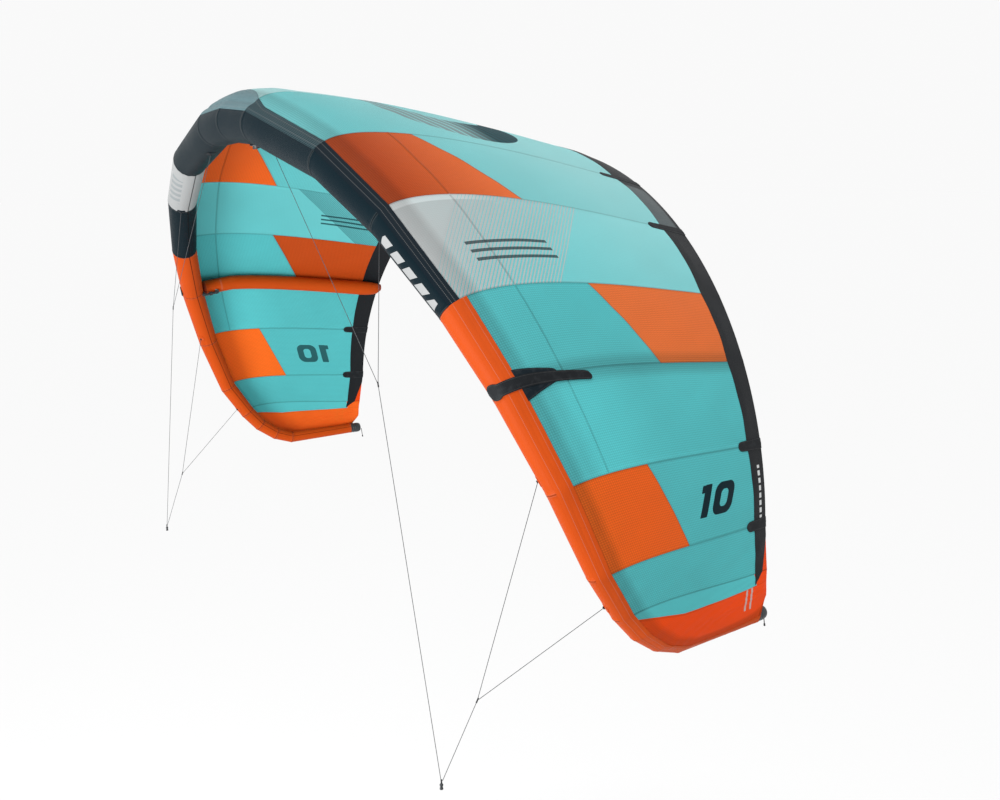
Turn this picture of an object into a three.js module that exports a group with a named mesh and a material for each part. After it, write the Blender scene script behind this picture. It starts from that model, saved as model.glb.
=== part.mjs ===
// Kitesurf kite, an inflatable C-shaped wing with three struts, as an assembly of separate pieces.
// Millimetres. +X runs along the span to the kite's right wing, +Y aft to the trailing edge, +Z up.
// The origin is the middle of the leading-edge tube, on the plane of symmetry.
import * as THREE from "three";
import { mergeVertices } from "three/addons/utils/BufferGeometryUtils.js";

// ---- driving dimensions -------------------------------------------------------------------

const HALF_SPAN = 2100; // the arch of the leading edge is half an ellipse
const ARCH_HEIGHT = 1700;
const SWEEP = 600; // how far aft the leading edge has moved at the widest point
const TUBE_RADIUS_CENTRE = 95;
const TUBE_RADIUS_WIDEST = 46;
const TUBE_TAPER_POWER = 1.35;
const TRAIL_WIDEST_Y = 1485; // where the trailing edge stands at the widest point
const TRAIL_BOW = 170; // how much further aft it stands at the centre
const TRAIL_INSET = 115; // how far the trailing edge lies inside the leading edge's arch

// Seams cross the wing at these arch angles, counted from the centre: seams 1 to 7.
const SEAM_ANGLES = [0, 8.5, 26.5, 40, 54, 65, 77, 88];
// The trailing ends of the lower seams lie a little nearer the top.
const TRAIL_ANGLES = [0, 8.5, 26.5, 39.8, 52.2, 63, 75.3, 87];

// Below the widest point the tube bends aft and runs along the foot of the wing tip: seams 8 to 13.
const TIP_TUBE = [
  { at: [2084, 693, -1817], radius: 44 },
  { at: [2079, 777, -1911], radius: 41 },
  { at: [2063, 877, -1981], radius: 38 },
  { at: [2053, 982, -2016], radius: 35 },
  { at: [2021, 1402, -1995], radius: 31 },
  { at: [2007, 1470, -1993], radius: 30 },
];
const TIP_TRAIL = [
  [2018, 1474, -1812],
  [2022, 1470, -1842],
  [2025, 1468, -1872],
  [2027, 1468, -1897],
  [2029, 1466, -1916],
  [2024, 1470, -1930],
];
const WIDEST_SEAM = SEAM_ANGLES.length - 1;
const TIP_PATCH_SEAM = 8;
const CAP_SEAM = 12;
const TIP_SEAM = 13;

// The canopy leaves the tube along a tangent and meets the trailing edge at a shallow angle.
const LEAVE_ANGLE = 25;
const ARRIVE_ANGLE = 9;
const LEAVE_REACH = 0.2; // lengths of the two handles of the profile curve, in chords
const ARRIVE_REACH = 0.33;
const TRAIL_BAND_START = 0.9; // where the trailing-edge band begins along the profile curve
const PANEL_GAP = 0.0002; // between panel and band, along the profile curve: about 0.3 mm

const CLOTH = 2;
const GAP = 0.3;
const CLOTH_STAND_OFF = 1.5; // from the tube's skin to the underside of the canopy's front edge
const SLEEVE_WALL = 2;
const BLADDER_WALL = 1;
const BLADDER_CLEARANCE = 6;
const TUBE_SIDES = 16;
const STRUT_SIDES = 12;
const BLADDER_SIDES = 8;
const TURNED_SIDES = 16;

const STRUT_RADIUS = 42;
const STRUT_SEAM = 5;
const STRUT_STAND_OFF = 16; // from the back of the tube to the strut's first ring
const STRUT_FRONT_OUT = 0.6; // how far out that ring stands, in tube radii
const STRUT_STATIONS = [0.3, 0.45, 0.6, 0.75, 0.88, 0.96];

const HOSE_RADIUS = 7;
const HOSE_ANGLE = Math.PI / 8; // below straight back, where the hose leaves the tube
const HOSE_REACH = 84; // from the back of the tube to where the hose meets the strut
const LINE_RADIUS = 1.25;
const LINE_STEPS = 8;
const KNOT_ROOM = 7; // from a knot's middle to the end of each line tied into it
const SLEEVE_ROOM = 12; // from the top of the line end sleeve to the leads
const LINE_END_SLEEVE = { radius: 7, length: 24 };
const PIGTAIL_RADIUS = 2;
const PIGTAIL_LENGTH = 60;
const PIGTAIL_LEAN = 10;
const PIGTAIL_FROM_TIP = [0, 6, -10];

// Bridle points on the right wing: two knots, and the point where the front flying line ties on.
const FRONT_KNOT = [1385, 44, -1009];
const REAR_KNOT = [1891, 185, -2126];
const LINE_END = [1844, 57, -2445];
const FRONT_ANCHOR_SEAMS = [1.25, 3];
const REAR_ANCHOR_SEAMS = [5.85, 7.7];

// The valve stands on the tube's underside, turned towards the back. Its cap plugs the bore.
const VALVE = { seam: 0.55, turn: -67.5, bore: 16, neck: 22, flange: 32, flangeHeight: 3, height: 16 };
const CAP = { plug: 15, plugDepth: 7, rim: 24, thickness: 5 };

// ---- materials ----------------------------------------------------------------------------

function material(colour, roughness, metalness = 0) {
  return new THREE.MeshStandardMaterial({ color: colour, roughness, metalness });
}

const COLOURS = {
  teal: "#52b9bf",
  orange: "#e2581f",
  navy: "#123440",
  pale: "#c4c6c6",
  black: "#1e2226",
  bladder: "#d9dfe2",
  plastic: "#26292c",
  line: "#8d9296",
};

// ---- the wing's curves --------------------------------------------------------------------

const radians = THREE.MathUtils.degToRad;
const vector = (at) => new THREE.Vector3(...at);
const mix = (a, b, u) => a + (b - a) * u;

function archAngle(seam, angles = SEAM_ANGLES) {
  const low = Math.min(Math.floor(seam), WIDEST_SEAM - 1);
  return mix(angles[low], angles[low + 1], seam - low);
}

// A value at a broken seam number, read off the list of seams 7 to 13.
function alongTip(seam, values, blend) {
  const place = Math.min(seam, TIP_SEAM) - WIDEST_SEAM;
  const low = Math.min(Math.floor(place), values.length - 2);
  return blend(values[low], values[low + 1], place - low);
}

const blendPoints = (a, b, u) => a.clone().lerp(b, u);

function archPoint(angle) {
  const turn = radians(angle);
  const sweep = SWEEP * (angle / 90) ** 2;
  return new THREE.Vector3(HALF_SPAN * Math.sin(turn), sweep, -ARCH_HEIGHT * (1 - Math.cos(turn)));
}

function archRadius(angle) {
  const lost = (TUBE_RADIUS_CENTRE - TUBE_RADIUS_WIDEST) * (angle / 90) ** TUBE_TAPER_POWER;
  return TUBE_RADIUS_CENTRE - lost;
}

function archTrail(angle) {
  const turn = radians(angle);
  const inward = new THREE.Vector3(-Math.sin(turn) / HALF_SPAN, 0, -Math.cos(turn) / ARCH_HEIGHT);
  const point = archPoint(angle).addScaledVector(inward.normalize(), TRAIL_INSET);
  point.y = TRAIL_WIDEST_Y + TRAIL_BOW * Math.cos(turn) ** 2;
  return point;
}

// The tube's axis at a whole seam. Negative seams are the left wing.
function seamPoint(seam) {
  const side = seam < 0 ? -1 : 1;
  const number = Math.abs(seam);
  const tip = number > WIDEST_SEAM;
  const point = tip ? vector(TIP_TUBE[number - WIDEST_SEAM - 1].at) : archPoint(archAngle(number));
  point.x *= side;
  return point;
}

// The tube runs straight from seam to seam.
function axisPoint(seam) {
  const low = Math.min(Math.floor(seam), TIP_SEAM - 1);
  return seamPoint(low).lerp(seamPoint(low + 1), seam - low);
}

function tubeRadius(seam) {
  const number = Math.abs(seam);
  if (number <= WIDEST_SEAM) return archRadius(archAngle(number));
  const radii = [archRadius(archAngle(WIDEST_SEAM)), ...TIP_TUBE.map((station) => station.radius)];
  return alongTip(number, radii, mix);
}

function trailPoint(seam) {
  const number = Math.abs(seam);
  const widest = archTrail(archAngle(WIDEST_SEAM, TRAIL_ANGLES));
  const point =
    number <= WIDEST_SEAM
      ? archTrail(archAngle(number, TRAIL_ANGLES))
      : alongTip(number, [widest, ...TIP_TRAIL.map(vector)], blendPoints);
  point.x *= seam < 0 ? -1 : 1;
  return point;
}

// The direction along the tube at a whole seam halves the bend there.
function seamDirection(seam) {
  const before = seamPoint(seam).sub(seamPoint(Math.max(seam - 1, -TIP_SEAM))).normalize();
  const after = seamPoint(Math.min(seam + 1, TIP_SEAM)).sub(seamPoint(seam)).normalize();
  return before.add(after).normalize();
}

function direction(seam) {
  const low = Math.min(Math.floor(seam), TIP_SEAM - 1);
  return seamDirection(low).lerp(seamDirection(low + 1), seam - low).normalize();
}

// A cut across the wing: aft runs to the trailing edge, out points away from the arch's inside.
function crossSection(seam) {
  const centre = axisPoint(seam);
  const along = direction(seam);
  const trail = trailPoint(seam);
  const aft = trail.clone().sub(centre);
  const chord = aft.length();
  aft.normalize();
  const out = new THREE.Vector3().crossVectors(along, aft).normalize();
  const square = new THREE.Vector3().crossVectors(out, along).normalize();
  return { centre, along, aft, out, square, chord, radius: tubeRadius(seam) };
}

const inSection = (cut, aft, out) =>
  cut.centre.clone().addScaledVector(cut.aft, aft).addScaledVector(cut.out, out);

// The canopy's profile at a cross-section: a cubic curve that leaves the tube along a tangent.
function profileCurve(cut) {
  const leave = radians(LEAVE_ANGLE);
  const arrive = radians(ARRIVE_ANGLE);
  const lift = cut.radius + CLOTH + CLOTH_STAND_OFF;
  const pointed = (first, amount, second, other) =>
    first.clone().multiplyScalar(amount).addScaledVector(second, other);
  const foot = pointed(cut.out, Math.cos(leave), cut.square, -Math.sin(leave));
  const rise = pointed(cut.square, Math.cos(leave), cut.out, Math.sin(leave));
  const fall = pointed(cut.aft, -Math.cos(arrive), cut.out, Math.sin(arrive));
  const start = cut.centre.clone().addScaledVector(foot, lift);
  const end = cut.centre.clone().addScaledVector(cut.aft, cut.chord);
  return new THREE.CubicBezierCurve3(
    start,
    start.clone().addScaledVector(rise, Math.max(cut.chord * LEAVE_REACH, cut.radius)),
    end.clone().addScaledVector(fall, cut.chord * ARRIVE_REACH),
    end,
  );
}

// A point of the canopy's profile, sunk below its outer face by depth.
function canopyPoint(cut, curve, place, depth) {
  const outward = new THREE.Vector3().crossVectors(cut.along, curve.getTangent(place)).normalize();
  return curve.getPoint(place).addScaledVector(outward, -depth);
}

// ---- solids from rings of points ----------------------------------------------------------

function enclosedVolume(points, triangles) {
  const area = new THREE.Vector3();
  return triangles.reduce((sum, [a, b, c]) => {
    area.crossVectors(points[b], points[c]);
    return sum + area.dot(points[a]);
  }, 0);
}

function solid(points, triangles) {
  const facing = enclosedVolume(points, triangles) > 0 ? triangles : triangles.map(([a, b, c]) => [a, c, b]);
  const geometry = new THREE.BufferGeometry().setFromPoints(points);
  geometry.setIndex(facing.flat());
  geometry.computeVertexNormals();
  return geometry;
}

// Joins rings of equally many points into one skin. With wrap, the last ring joins the first;
// without, each end is closed by a strip across its ring. The second half of a skin is the inner
// face of a thin wall, and its squares are split the same way as the outer face's.
function loft(rings, wrap) {
  const count = rings[0].length;
  const triangles = [];
  const quad = (a, b, c, d) => triangles.push([a, b, c], [a, c, d]);
  const joins = wrap ? rings.length : rings.length - 1;
  for (let ring = 0; ring < joins; ring += 1) {
    const here = ring * count;
    const next = ((ring + 1) % rings.length) * count;
    for (let i = 0; i < count; i += 1) {
      const j = (i + 1) % count;
      const innerFace = wrap ? ring >= rings.length / 2 : i >= count / 2;
      if (innerFace) quad(here + j, next + j, next + i, here + i);
      else quad(here + i, here + j, next + j, next + i);
    }
  }
  if (!wrap) {
    const last = (rings.length - 1) * count;
    for (let i = 0; i < count / 2 - 1; i += 1) {
      const mate = count - 1 - i;
      quad(i, mate, mate - 1, i + 1);
      quad(last + i, last + i + 1, last + mate - 1, last + mate);
    }
  }
  return solid(rings.flat(), triangles);
}

// The same piece for the left wing.
function mirrored(geometry) {
  const copy = mergeVertices(geometry).scale(-1, 1, 1);
  const corners = copy.index.array;
  for (let i = 0; i < corners.length; i += 3) {
    const first = corners[i];
    corners[i] = corners[i + 1];
    corners[i + 1] = first;
  }
  return copy;
}

// A round ring about a centre, in the plane of two square directions.
function ring(centre, across, upward, radius, sides) {
  return Array.from({ length: sides }, (_, i) => {
    const turn = ((i + 0.5) / sides) * 2 * Math.PI;
    return centre
      .clone()
      .addScaledVector(across, Math.cos(turn) * radius)
      .addScaledVector(upward, Math.sin(turn) * radius);
  });
}

// A thin-walled tube through stations of { centre, across, upward, radius }, open at both ends.
function hollowTube(stations, wall, sides) {
  const outside = stations.map((s) => ring(s.centre, s.across, s.upward, s.radius, sides));
  const inside = stations.map((s) => ring(s.centre, s.across, s.upward, s.radius - wall, sides));
  return loft([...outside, ...inside.reverse()], true);
}

// A solid of revolution about +Y, from pairs of radius and height.
function turned(profile) {
  return new THREE.LatheGeometry(profile.map(([r, h]) => new THREE.Vector2(r, h)), TURNED_SIDES);
}

// Turns a shape made about +Y so that it stands at a point along a direction.
function standing(geometry, at, along) {
  const turn = new THREE.Quaternion().setFromUnitVectors(new THREE.Vector3(0, 1, 0), along);
  geometry.applyQuaternion(turn);
  geometry.translate(at.x, at.y, at.z);
  return geometry;
}

// ---- leading edge -------------------------------------------------------------------------

function wholeSeams(first, last) {
  return Array.from({ length: last - first + 1 }, (_, i) => first + i);
}

// Tube stations from seam to seam; the two end rings stand back so that sleeves don't touch.
function tubeStations(first, last, shrink) {
  return wholeSeams(first, last).map((seam) => {
    const cut = crossSection(seam);
    const back = seam === first ? GAP : seam === last ? -GAP : 0;
    const centre = cut.centre.clone().addScaledVector(cut.along, back);
    return { centre, across: cut.square, upward: cut.out, radius: cut.radius - shrink };
  });
}

function sleeve(first, last) {
  return hollowTube(tubeStations(first, last, 0), SLEEVE_WALL, TUBE_SIDES);
}

function leadingEdgeBladder() {
  const stations = tubeStations(-CAP_SEAM, CAP_SEAM, BLADDER_CLEARANCE);
  return hollowTube(stations, BLADDER_WALL, BLADDER_SIDES);
}

// The moulded cap on the end of the tube: a short skirt and a domed end.
function endCap() {
  const start = axisPoint(CAP_SEAM);
  const length = start.distanceTo(axisPoint(TIP_SEAM));
  const radius = tubeRadius(CAP_SEAM) - 1;
  const profile = [
    [0, 2 * GAP],
    [radius, 2 * GAP],
    [radius, length * 0.7],
    [radius * 0.8, length * 0.92],
    [radius * 0.45, length],
    [0, length],
  ];
  return standing(turned(profile), start, direction(CAP_SEAM));
}

// ---- canopy -------------------------------------------------------------------------------

// How far a panel stands back from its seam, in seam numbers.
function seamGap(seam) {
  const next = seam < 0 ? seam - 1 : seam + 1;
  return (2 * GAP) / seamPoint(seam).distanceTo(seamPoint(next));
}

function steps(first, last, count) {
  return Array.from({ length: count + 1 }, (_, i) => mix(first, last, i / count));
}

// A sheet of cloth between two seams and between two places on the profile.
function clothSheet(firstSeam, lastSeam, spanSteps, fromPlace, toPlace, profileSteps, thickness) {
  const seams = steps(firstSeam + seamGap(firstSeam), lastSeam - seamGap(lastSeam), spanSteps);
  const places = steps(fromPlace, toPlace, profileSteps);
  const rings = seams.map((seam) => {
    const cut = crossSection(seam);
    const curve = profileCurve(cut);
    const outer = places.map((place) => canopyPoint(cut, curve, place, 0));
    const inner = places.map((place) => canopyPoint(cut, curve, place, thickness));
    return [...outer, ...inner.reverse()];
  });
  return loft(rings, false);
}

function canopyPanel(firstSeam, lastSeam, spanSteps) {
  const end = lastSeam > TIP_PATCH_SEAM ? 1 : TRAIL_BAND_START - PANEL_GAP;
  return clothSheet(firstSeam, lastSeam, spanSteps, 0, end, 10, CLOTH);
}

// ---- struts -------------------------------------------------------------------------------

// The strut hugs the canopy's underside from behind the tube to the trailing edge.
function strutAxis(seam) {
  const cut = crossSection(seam);
  const curve = profileCurve(cut);
  const sunk = STRUT_RADIUS + CLOTH + 3;
  const front = inSection(cut, cut.radius + STRUT_STAND_OFF, cut.radius * STRUT_FRONT_OUT);
  const points = [front, ...STRUT_STATIONS.map((place) => canopyPoint(cut, curve, place, sunk))];
  const tail = canopyPoint(cut, curve, 1, sunk);
  return { cut, points: [...points, tail] };
}

function strutStations(seam, shrink) {
  const { cut, points } = strutAxis(seam);
  const last = points.length - 1;
  return points.map((centre, i) => {
    const along = points[Math.min(i + 1, last)].clone().sub(points[Math.max(i - 1, 0)]).normalize();
    const across = cut.along.clone().addScaledVector(along, -cut.along.dot(along)).normalize();
    const upward = new THREE.Vector3().crossVectors(across, along);
    const narrowed = i === last ? 0.55 : i === last - 1 ? 0.92 : 1;
    return { centre, across, upward, radius: (STRUT_RADIUS - shrink) * narrowed };
  });
}

const strutSleeve = (seam) => hollowTube(strutStations(seam, 0), SLEEVE_WALL, STRUT_SIDES);

function strutBladder(seam) {
  const stations = strutStations(seam, BLADDER_CLEARANCE).slice(0, -1);
  return hollowTube(stations, BLADDER_WALL, BLADDER_SIDES);
}

// ---- hoses, lines and knots ---------------------------------------------------------------

function roundShape(radius, sides) {
  const corners = steps(0, 2 * Math.PI, sides).slice(0, -1);
  return new THREE.Shape(corners.map((a) => new THREE.Vector2(radius * Math.cos(a), radius * Math.sin(a))));
}

function cord(points, radius, count) {
  const extrudePath = new THREE.CatmullRomCurve3(points, false, "centripetal");
  const options = { steps: count, bevelEnabled: false, extrudePath };
  return new THREE.ExtrudeGeometry(roundShape(radius, 8), options);
}

// How far out the strut's underside lies this far aft, between its first two rings.
function strutUnderside(seam, aft) {
  const { cut, points } = strutAxis(seam);
  const [front, next] = points.slice(0, 2).map((point) => point.clone().sub(cut.centre));
  const share = (aft - front.dot(cut.aft)) / (next.dot(cut.aft) - front.dot(cut.aft));
  return mix(front.dot(cut.out), next.dot(cut.out), share) - STRUT_RADIUS;
}

// The air hose from the back of the leading edge to the underside of a strut, in (aft, out).
function airHose(seam) {
  const cut = crossSection(seam);
  const r = cut.radius;
  const under = strutUnderside(seam, r + HOSE_REACH);
  const leaving = (reach) => [(r + reach) * Math.cos(HOSE_ANGLE), -(r + reach) * Math.sin(HOSE_ANGLE)];
  const route = [
    leaving(4),
    leaving(22),
    [r + 48, under - 24],
    [r + 76, under - 18],
    [r + HOSE_REACH, under - 5],
  ];
  return cord(route.map(([aft, out]) => inSection(cut, aft, out)), HOSE_RADIUS, 12);
}

// Where a line ties to the tube, on the side that faces the knot.
function anchorPoint(seam, knot) {
  const centre = axisPoint(seam);
  const along = direction(seam);
  const toKnot = knot.clone().sub(centre);
  toKnot.addScaledVector(along, -toKnot.dot(along)).normalize();
  return centre.addScaledVector(toKnot, tubeRadius(seam) + 2);
}

// A taut line between two points, stopping short of both.
function tautLine(from, to, shortFrom, shortTo) {
  const run = to.clone().sub(from).normalize();
  const start = from.clone().addScaledVector(run, shortFrom);
  const end = to.clone().addScaledVector(run, -shortTo);
  return cord(steps(0, 1, LINE_STEPS).map((u) => start.clone().lerp(end, u)), LINE_RADIUS, LINE_STEPS);
}

function anchorLine(seam, knotAt) {
  const knot = vector(knotAt);
  return tautLine(anchorPoint(seam, knot), knot, 0, KNOT_ROOM);
}

function leadLine(knotAt) {
  return tautLine(vector(knotAt), vector(LINE_END), KNOT_ROOM, SLEEVE_ROOM);
}

// The sleeve at the foot of the bridle, where a flying line is looped on. It hangs from its top.
function lineEndSleeve() {
  const { radius, length } = LINE_END_SLEEVE;
  const profile = [
    [0, 0],
    [radius - 3, 0],
    [radius, 3],
    [radius, length],
    [0, length],
  ];
  return standing(turned(profile), vector(LINE_END), new THREE.Vector3(0, 0, -1));
}

// The short rear pigtail hangs from the end of the wing tip, just behind the end cap.
function rearPigtail() {
  const top = axisPoint(TIP_SEAM).add(vector(PIGTAIL_FROM_TIP));
  const run = new THREE.Vector3(0, PIGTAIL_LEAN, -PIGTAIL_LENGTH);
  return cord(steps(0, 1, 6).map((u) => top.clone().addScaledVector(run, u)), PIGTAIL_RADIUS, 8);
}

// ---- inflation valve ----------------------------------------------------------------------

// The valve looks down and aft from the underside of the tube.
function valveSeat() {
  const cut = crossSection(VALVE.seam);
  const turn = radians(VALVE.turn);
  const facing = cut.square.clone().multiplyScalar(Math.cos(turn)).addScaledVector(cut.out, Math.sin(turn));
  return { at: cut.centre.clone().addScaledVector(facing, cut.radius + GAP), facing };
}

function valveBody() {
  const { bore, neck, flange, flangeHeight, height } = VALVE;
  const profile = [
    [bore, 0],
    [flange, 0],
    [flange, flangeHeight],
    [neck, flangeHeight],
    [neck, height],
    [bore, height],
    [bore, 0],
  ];
  const { at, facing } = valveSeat();
  return standing(turned(profile), at, facing);
}

function valveCap() {
  const seat = VALVE.height + GAP;
  const profile = [
    [0, seat - CAP.plugDepth],
    [CAP.plug, seat - CAP.plugDepth],
    [CAP.plug, seat],
    [CAP.rim, seat],
    [CAP.rim, seat + CAP.thickness],
    [0, seat + CAP.thickness],
  ];
  const { at, facing } = valveSeat();
  return standing(turned(profile), at, facing);
}

// ---- the assembly -------------------------------------------------------------------------

const kite = new THREE.Group();

function add(name, geometry, colour, roughness) {
  const mesh = new THREE.Mesh(geometry, material(colour, roughness));
  mesh.name = name;
  kite.add(mesh);
}

function addPair(name, geometry, colour, roughness) {
  add(`${name}_right`, geometry, colour, roughness);
  add(`${name}_left`, mirrored(geometry), colour, roughness);
}

const CLOTH_ROUGHNESS = 0.6;
const BAND_ROUGHNESS = 0.7;
const BLADDER_ROUGHNESS = 0.3;
const LINE_ROUGHNESS = 0.8;
const PLASTIC_ROUGHNESS = 0.45;

const SLEEVES = [
  { name: "shoulder", first: 2, last: 4, colour: COLOURS.navy },
  { name: "upper_arm", first: 4, last: 5, colour: COLOURS.orange },
  { name: "mid_arm", first: 5, last: 6, colour: COLOURS.orange },
  { name: "lower_arm", first: 6, last: 7, colour: COLOURS.orange },
  { name: "wing_tip", first: 7, last: CAP_SEAM, colour: COLOURS.orange },
];

const PANELS = [
  { name: "crown", first: 1, last: 2, spans: 4, colour: COLOURS.teal },
  { name: "upper", first: 2, last: 3, spans: 3, colour: COLOURS.teal },
  { name: "shoulder", first: 3, last: 4, spans: 3, colour: COLOURS.pale },
  { name: "over_strut", first: 4, last: 5, spans: 3, colour: COLOURS.teal },
  { name: "under_strut", first: 5, last: 6, spans: 3, colour: COLOURS.teal },
  { name: "lower", first: 6, last: 7, spans: 3, colour: COLOURS.orange },
  { name: "foot", first: 7, last: TIP_PATCH_SEAM, spans: 2, colour: COLOURS.teal },
  { name: "tip_patch", first: TIP_PATCH_SEAM, last: CAP_SEAM, spans: 4, colour: COLOURS.orange },
];

add("le_sleeve_centre", sleeve(-2, 2), COLOURS.navy, CLOTH_ROUGHNESS);
add("le_bladder", leadingEdgeBladder(), COLOURS.bladder, BLADDER_ROUGHNESS);
add("canopy_centre", canopyPanel(-1, 1, 4), COLOURS.teal, CLOTH_ROUGHNESS);
add("strut_sleeve_centre", strutSleeve(0), COLOURS.orange, CLOTH_ROUGHNESS);
add("strut_bladder_centre", strutBladder(0), COLOURS.bladder, BLADDER_ROUGHNESS);
add("air_hose_centre", airHose(0), COLOURS.plastic, PLASTIC_ROUGHNESS);
add("inflation_valve", valveBody(), COLOURS.plastic, PLASTIC_ROUGHNESS);
add("inflation_valve_cap", valveCap(), COLOURS.plastic, PLASTIC_ROUGHNESS);

for (const { name, first, last, colour } of SLEEVES) {
  addPair(`le_sleeve_${name}`, sleeve(first, last), colour, CLOTH_ROUGHNESS);
}
for (const { name, first, last, spans, colour } of PANELS) {
  addPair(`canopy_${name}`, canopyPanel(first, last, spans), colour, CLOTH_ROUGHNESS);
}
const band = clothSheet(0, TIP_PATCH_SEAM, 24, TRAIL_BAND_START, 1, 1, CLOTH);
addPair("trailing_band", band, COLOURS.black, BAND_ROUGHNESS);
addPair("end_cap", endCap(), COLOURS.plastic, PLASTIC_ROUGHNESS);
addPair("strut_sleeve", strutSleeve(STRUT_SEAM), COLOURS.orange, CLOTH_ROUGHNESS);
addPair("strut_bladder", strutBladder(STRUT_SEAM), COLOURS.bladder, BLADDER_ROUGHNESS);
addPair("air_hose", airHose(STRUT_SEAM), COLOURS.plastic, PLASTIC_ROUGHNESS);

FRONT_ANCHOR_SEAMS.forEach((seam, i) => {
  addPair(`bridle_front_leg_${i + 1}`, anchorLine(seam, FRONT_KNOT), COLOURS.line, LINE_ROUGHNESS);
});
REAR_ANCHOR_SEAMS.forEach((seam, i) => {
  addPair(`bridle_rear_leg_${i + 1}`, anchorLine(seam, REAR_KNOT), COLOURS.line, LINE_ROUGHNESS);
});
addPair("bridle_front_lead", leadLine(FRONT_KNOT), COLOURS.line, LINE_ROUGHNESS);
addPair("bridle_rear_lead", leadLine(REAR_KNOT), COLOURS.line, LINE_ROUGHNESS);
addPair("line_end_sleeve", lineEndSleeve(), COLOURS.plastic, PLASTIC_ROUGHNESS);
addPair("rear_pigtail", rearPigtail(), COLOURS.black, LINE_ROUGHNESS);

export default kite;
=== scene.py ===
"""Kitesurf kite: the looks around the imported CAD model.

Metres. +X runs along the span to the kite's right wing, +Y aft, +Z up, and the origin is the middle
of the leading-edge tube. Places on the wing are given as a seam number, counted from the centre to
the tip, and a place from 0 at the leading edge to 1 at the trailing edge.
"""
from functools import lru_cache
from math import atan2, cos, pi, radians, sin

import bpy
import numpy as np
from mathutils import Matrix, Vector


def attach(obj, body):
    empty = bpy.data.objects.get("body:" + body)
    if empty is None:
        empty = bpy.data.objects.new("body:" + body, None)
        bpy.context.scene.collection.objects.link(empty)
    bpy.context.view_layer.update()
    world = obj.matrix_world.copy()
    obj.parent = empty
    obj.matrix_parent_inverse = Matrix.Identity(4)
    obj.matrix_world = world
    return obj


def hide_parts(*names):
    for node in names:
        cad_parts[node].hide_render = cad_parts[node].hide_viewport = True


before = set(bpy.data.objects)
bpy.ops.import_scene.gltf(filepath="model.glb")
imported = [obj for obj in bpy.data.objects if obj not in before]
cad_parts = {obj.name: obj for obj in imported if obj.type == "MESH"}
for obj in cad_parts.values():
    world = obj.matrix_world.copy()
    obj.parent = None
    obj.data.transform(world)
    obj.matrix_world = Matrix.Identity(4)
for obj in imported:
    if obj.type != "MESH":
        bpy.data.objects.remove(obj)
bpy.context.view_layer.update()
SIDES = (("right", 1), ("left", -1))

# ---- the wing's driving dimensions, as in the CAD model -----------------------------------------

HALF_SPAN = 2.1
ARCH_HEIGHT = 1.7
SWEEP = 0.6
TUBE_RADIUS_CENTRE = 0.095
TUBE_RADIUS_WIDEST = 0.046
TUBE_TAPER_POWER = 1.35
TRAIL_WIDEST_Y = 1.485
TRAIL_BOW = 0.17
TRAIL_INSET = 0.115
SEAM_ANGLES = [0, 8.5, 26.5, 40, 54, 65, 77, 88]
TRAIL_ANGLES = [0, 8.5, 26.5, 39.8, 52.2, 63, 75.3, 87]
TIP_TUBE = [
    ((2.084, 0.693, -1.817), 0.044),
    ((2.079, 0.777, -1.911), 0.041),
    ((2.063, 0.877, -1.981), 0.038),
    ((2.053, 0.982, -2.016), 0.035),
    ((2.021, 1.402, -1.995), 0.031),
    ((2.007, 1.470, -1.993), 0.030),
]
TIP_TRAIL = [
    (2.018, 1.474, -1.812),
    (2.022, 1.470, -1.842),
    (2.025, 1.468, -1.872),
    (2.027, 1.468, -1.897),
    (2.029, 1.466, -1.916),
    (2.024, 1.470, -1.930),
]
WIDEST_SEAM = len(SEAM_ANGLES) - 1
TIP_PATCH_SEAM = 8
CAP_SEAM = 12
TIP_SEAM = 13
STRUT_SEAM = 5
LEAVE_ANGLE = radians(25)  # forward of square, where the canopy leaves the tube
ARRIVE_ANGLE = radians(9)
LEAVE_REACH = 0.2
ARRIVE_REACH = 0.33
CLOTH_LIFT = 0.0035  # from the tube's skin to the CAD canopy's outer face

STRUT_RADIUS = 0.042
STRUT_SUNK = 0.047  # from the canopy's outer face to a strut's axis
STRUT_STAND_OFF = 0.016
STRUT_FRONT_OUT = 0.6  # in tube radii
STRUT_LAID_FROM = 0.3  # the place from which a strut lies along the canopy

FRONT_KNOT = (1.385, 0.044, -1.009)
REAR_KNOT = (1.891, 0.185, -2.126)
LINE_END = (1.844, 0.057, -2.445)
FRONT_ANCHOR_SEAMS = (1.25, 3)
REAR_ANCHOR_SEAMS = (5.85, 7.7)
KNOT_ROOM = 0.007
SLEEVE_ROOM = 0.012
LINE_RADIUS = 0.00125
PIGTAIL_RADIUS = 0.002
PIGTAIL_RUN = (0, 0.010, -0.060)
PIGTAIL_FROM_TIP = (0, 0.006, -0.010)
LINE_POINTS = 16  # along each straight, taut line


# ---- the wing's curves --------------------------------------------------------------------------


def unit(vector):
    return vector / np.linalg.norm(vector)


def arch_point(angle):
    turn = radians(angle)
    x = HALF_SPAN * sin(turn)
    return np.array([x, SWEEP * (angle / 90) ** 2, -ARCH_HEIGHT * (1 - cos(turn))])


def arch_radius(angle):
    lost = TUBE_RADIUS_CENTRE - TUBE_RADIUS_WIDEST
    return TUBE_RADIUS_CENTRE - lost * (angle / 90) ** TUBE_TAPER_POWER


def arch_trail(angle):
    turn = radians(angle)
    inward = unit(np.array([-sin(turn) / HALF_SPAN, 0, -cos(turn) / ARCH_HEIGHT]))
    point = arch_point(angle) + TRAIL_INSET * inward
    point[1] = TRAIL_WIDEST_Y + TRAIL_BOW * cos(turn) ** 2
    return point


def arch_angle(seam, angles=SEAM_ANGLES):
    return float(np.interp(seam, range(WIDEST_SEAM + 1), angles))


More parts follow.
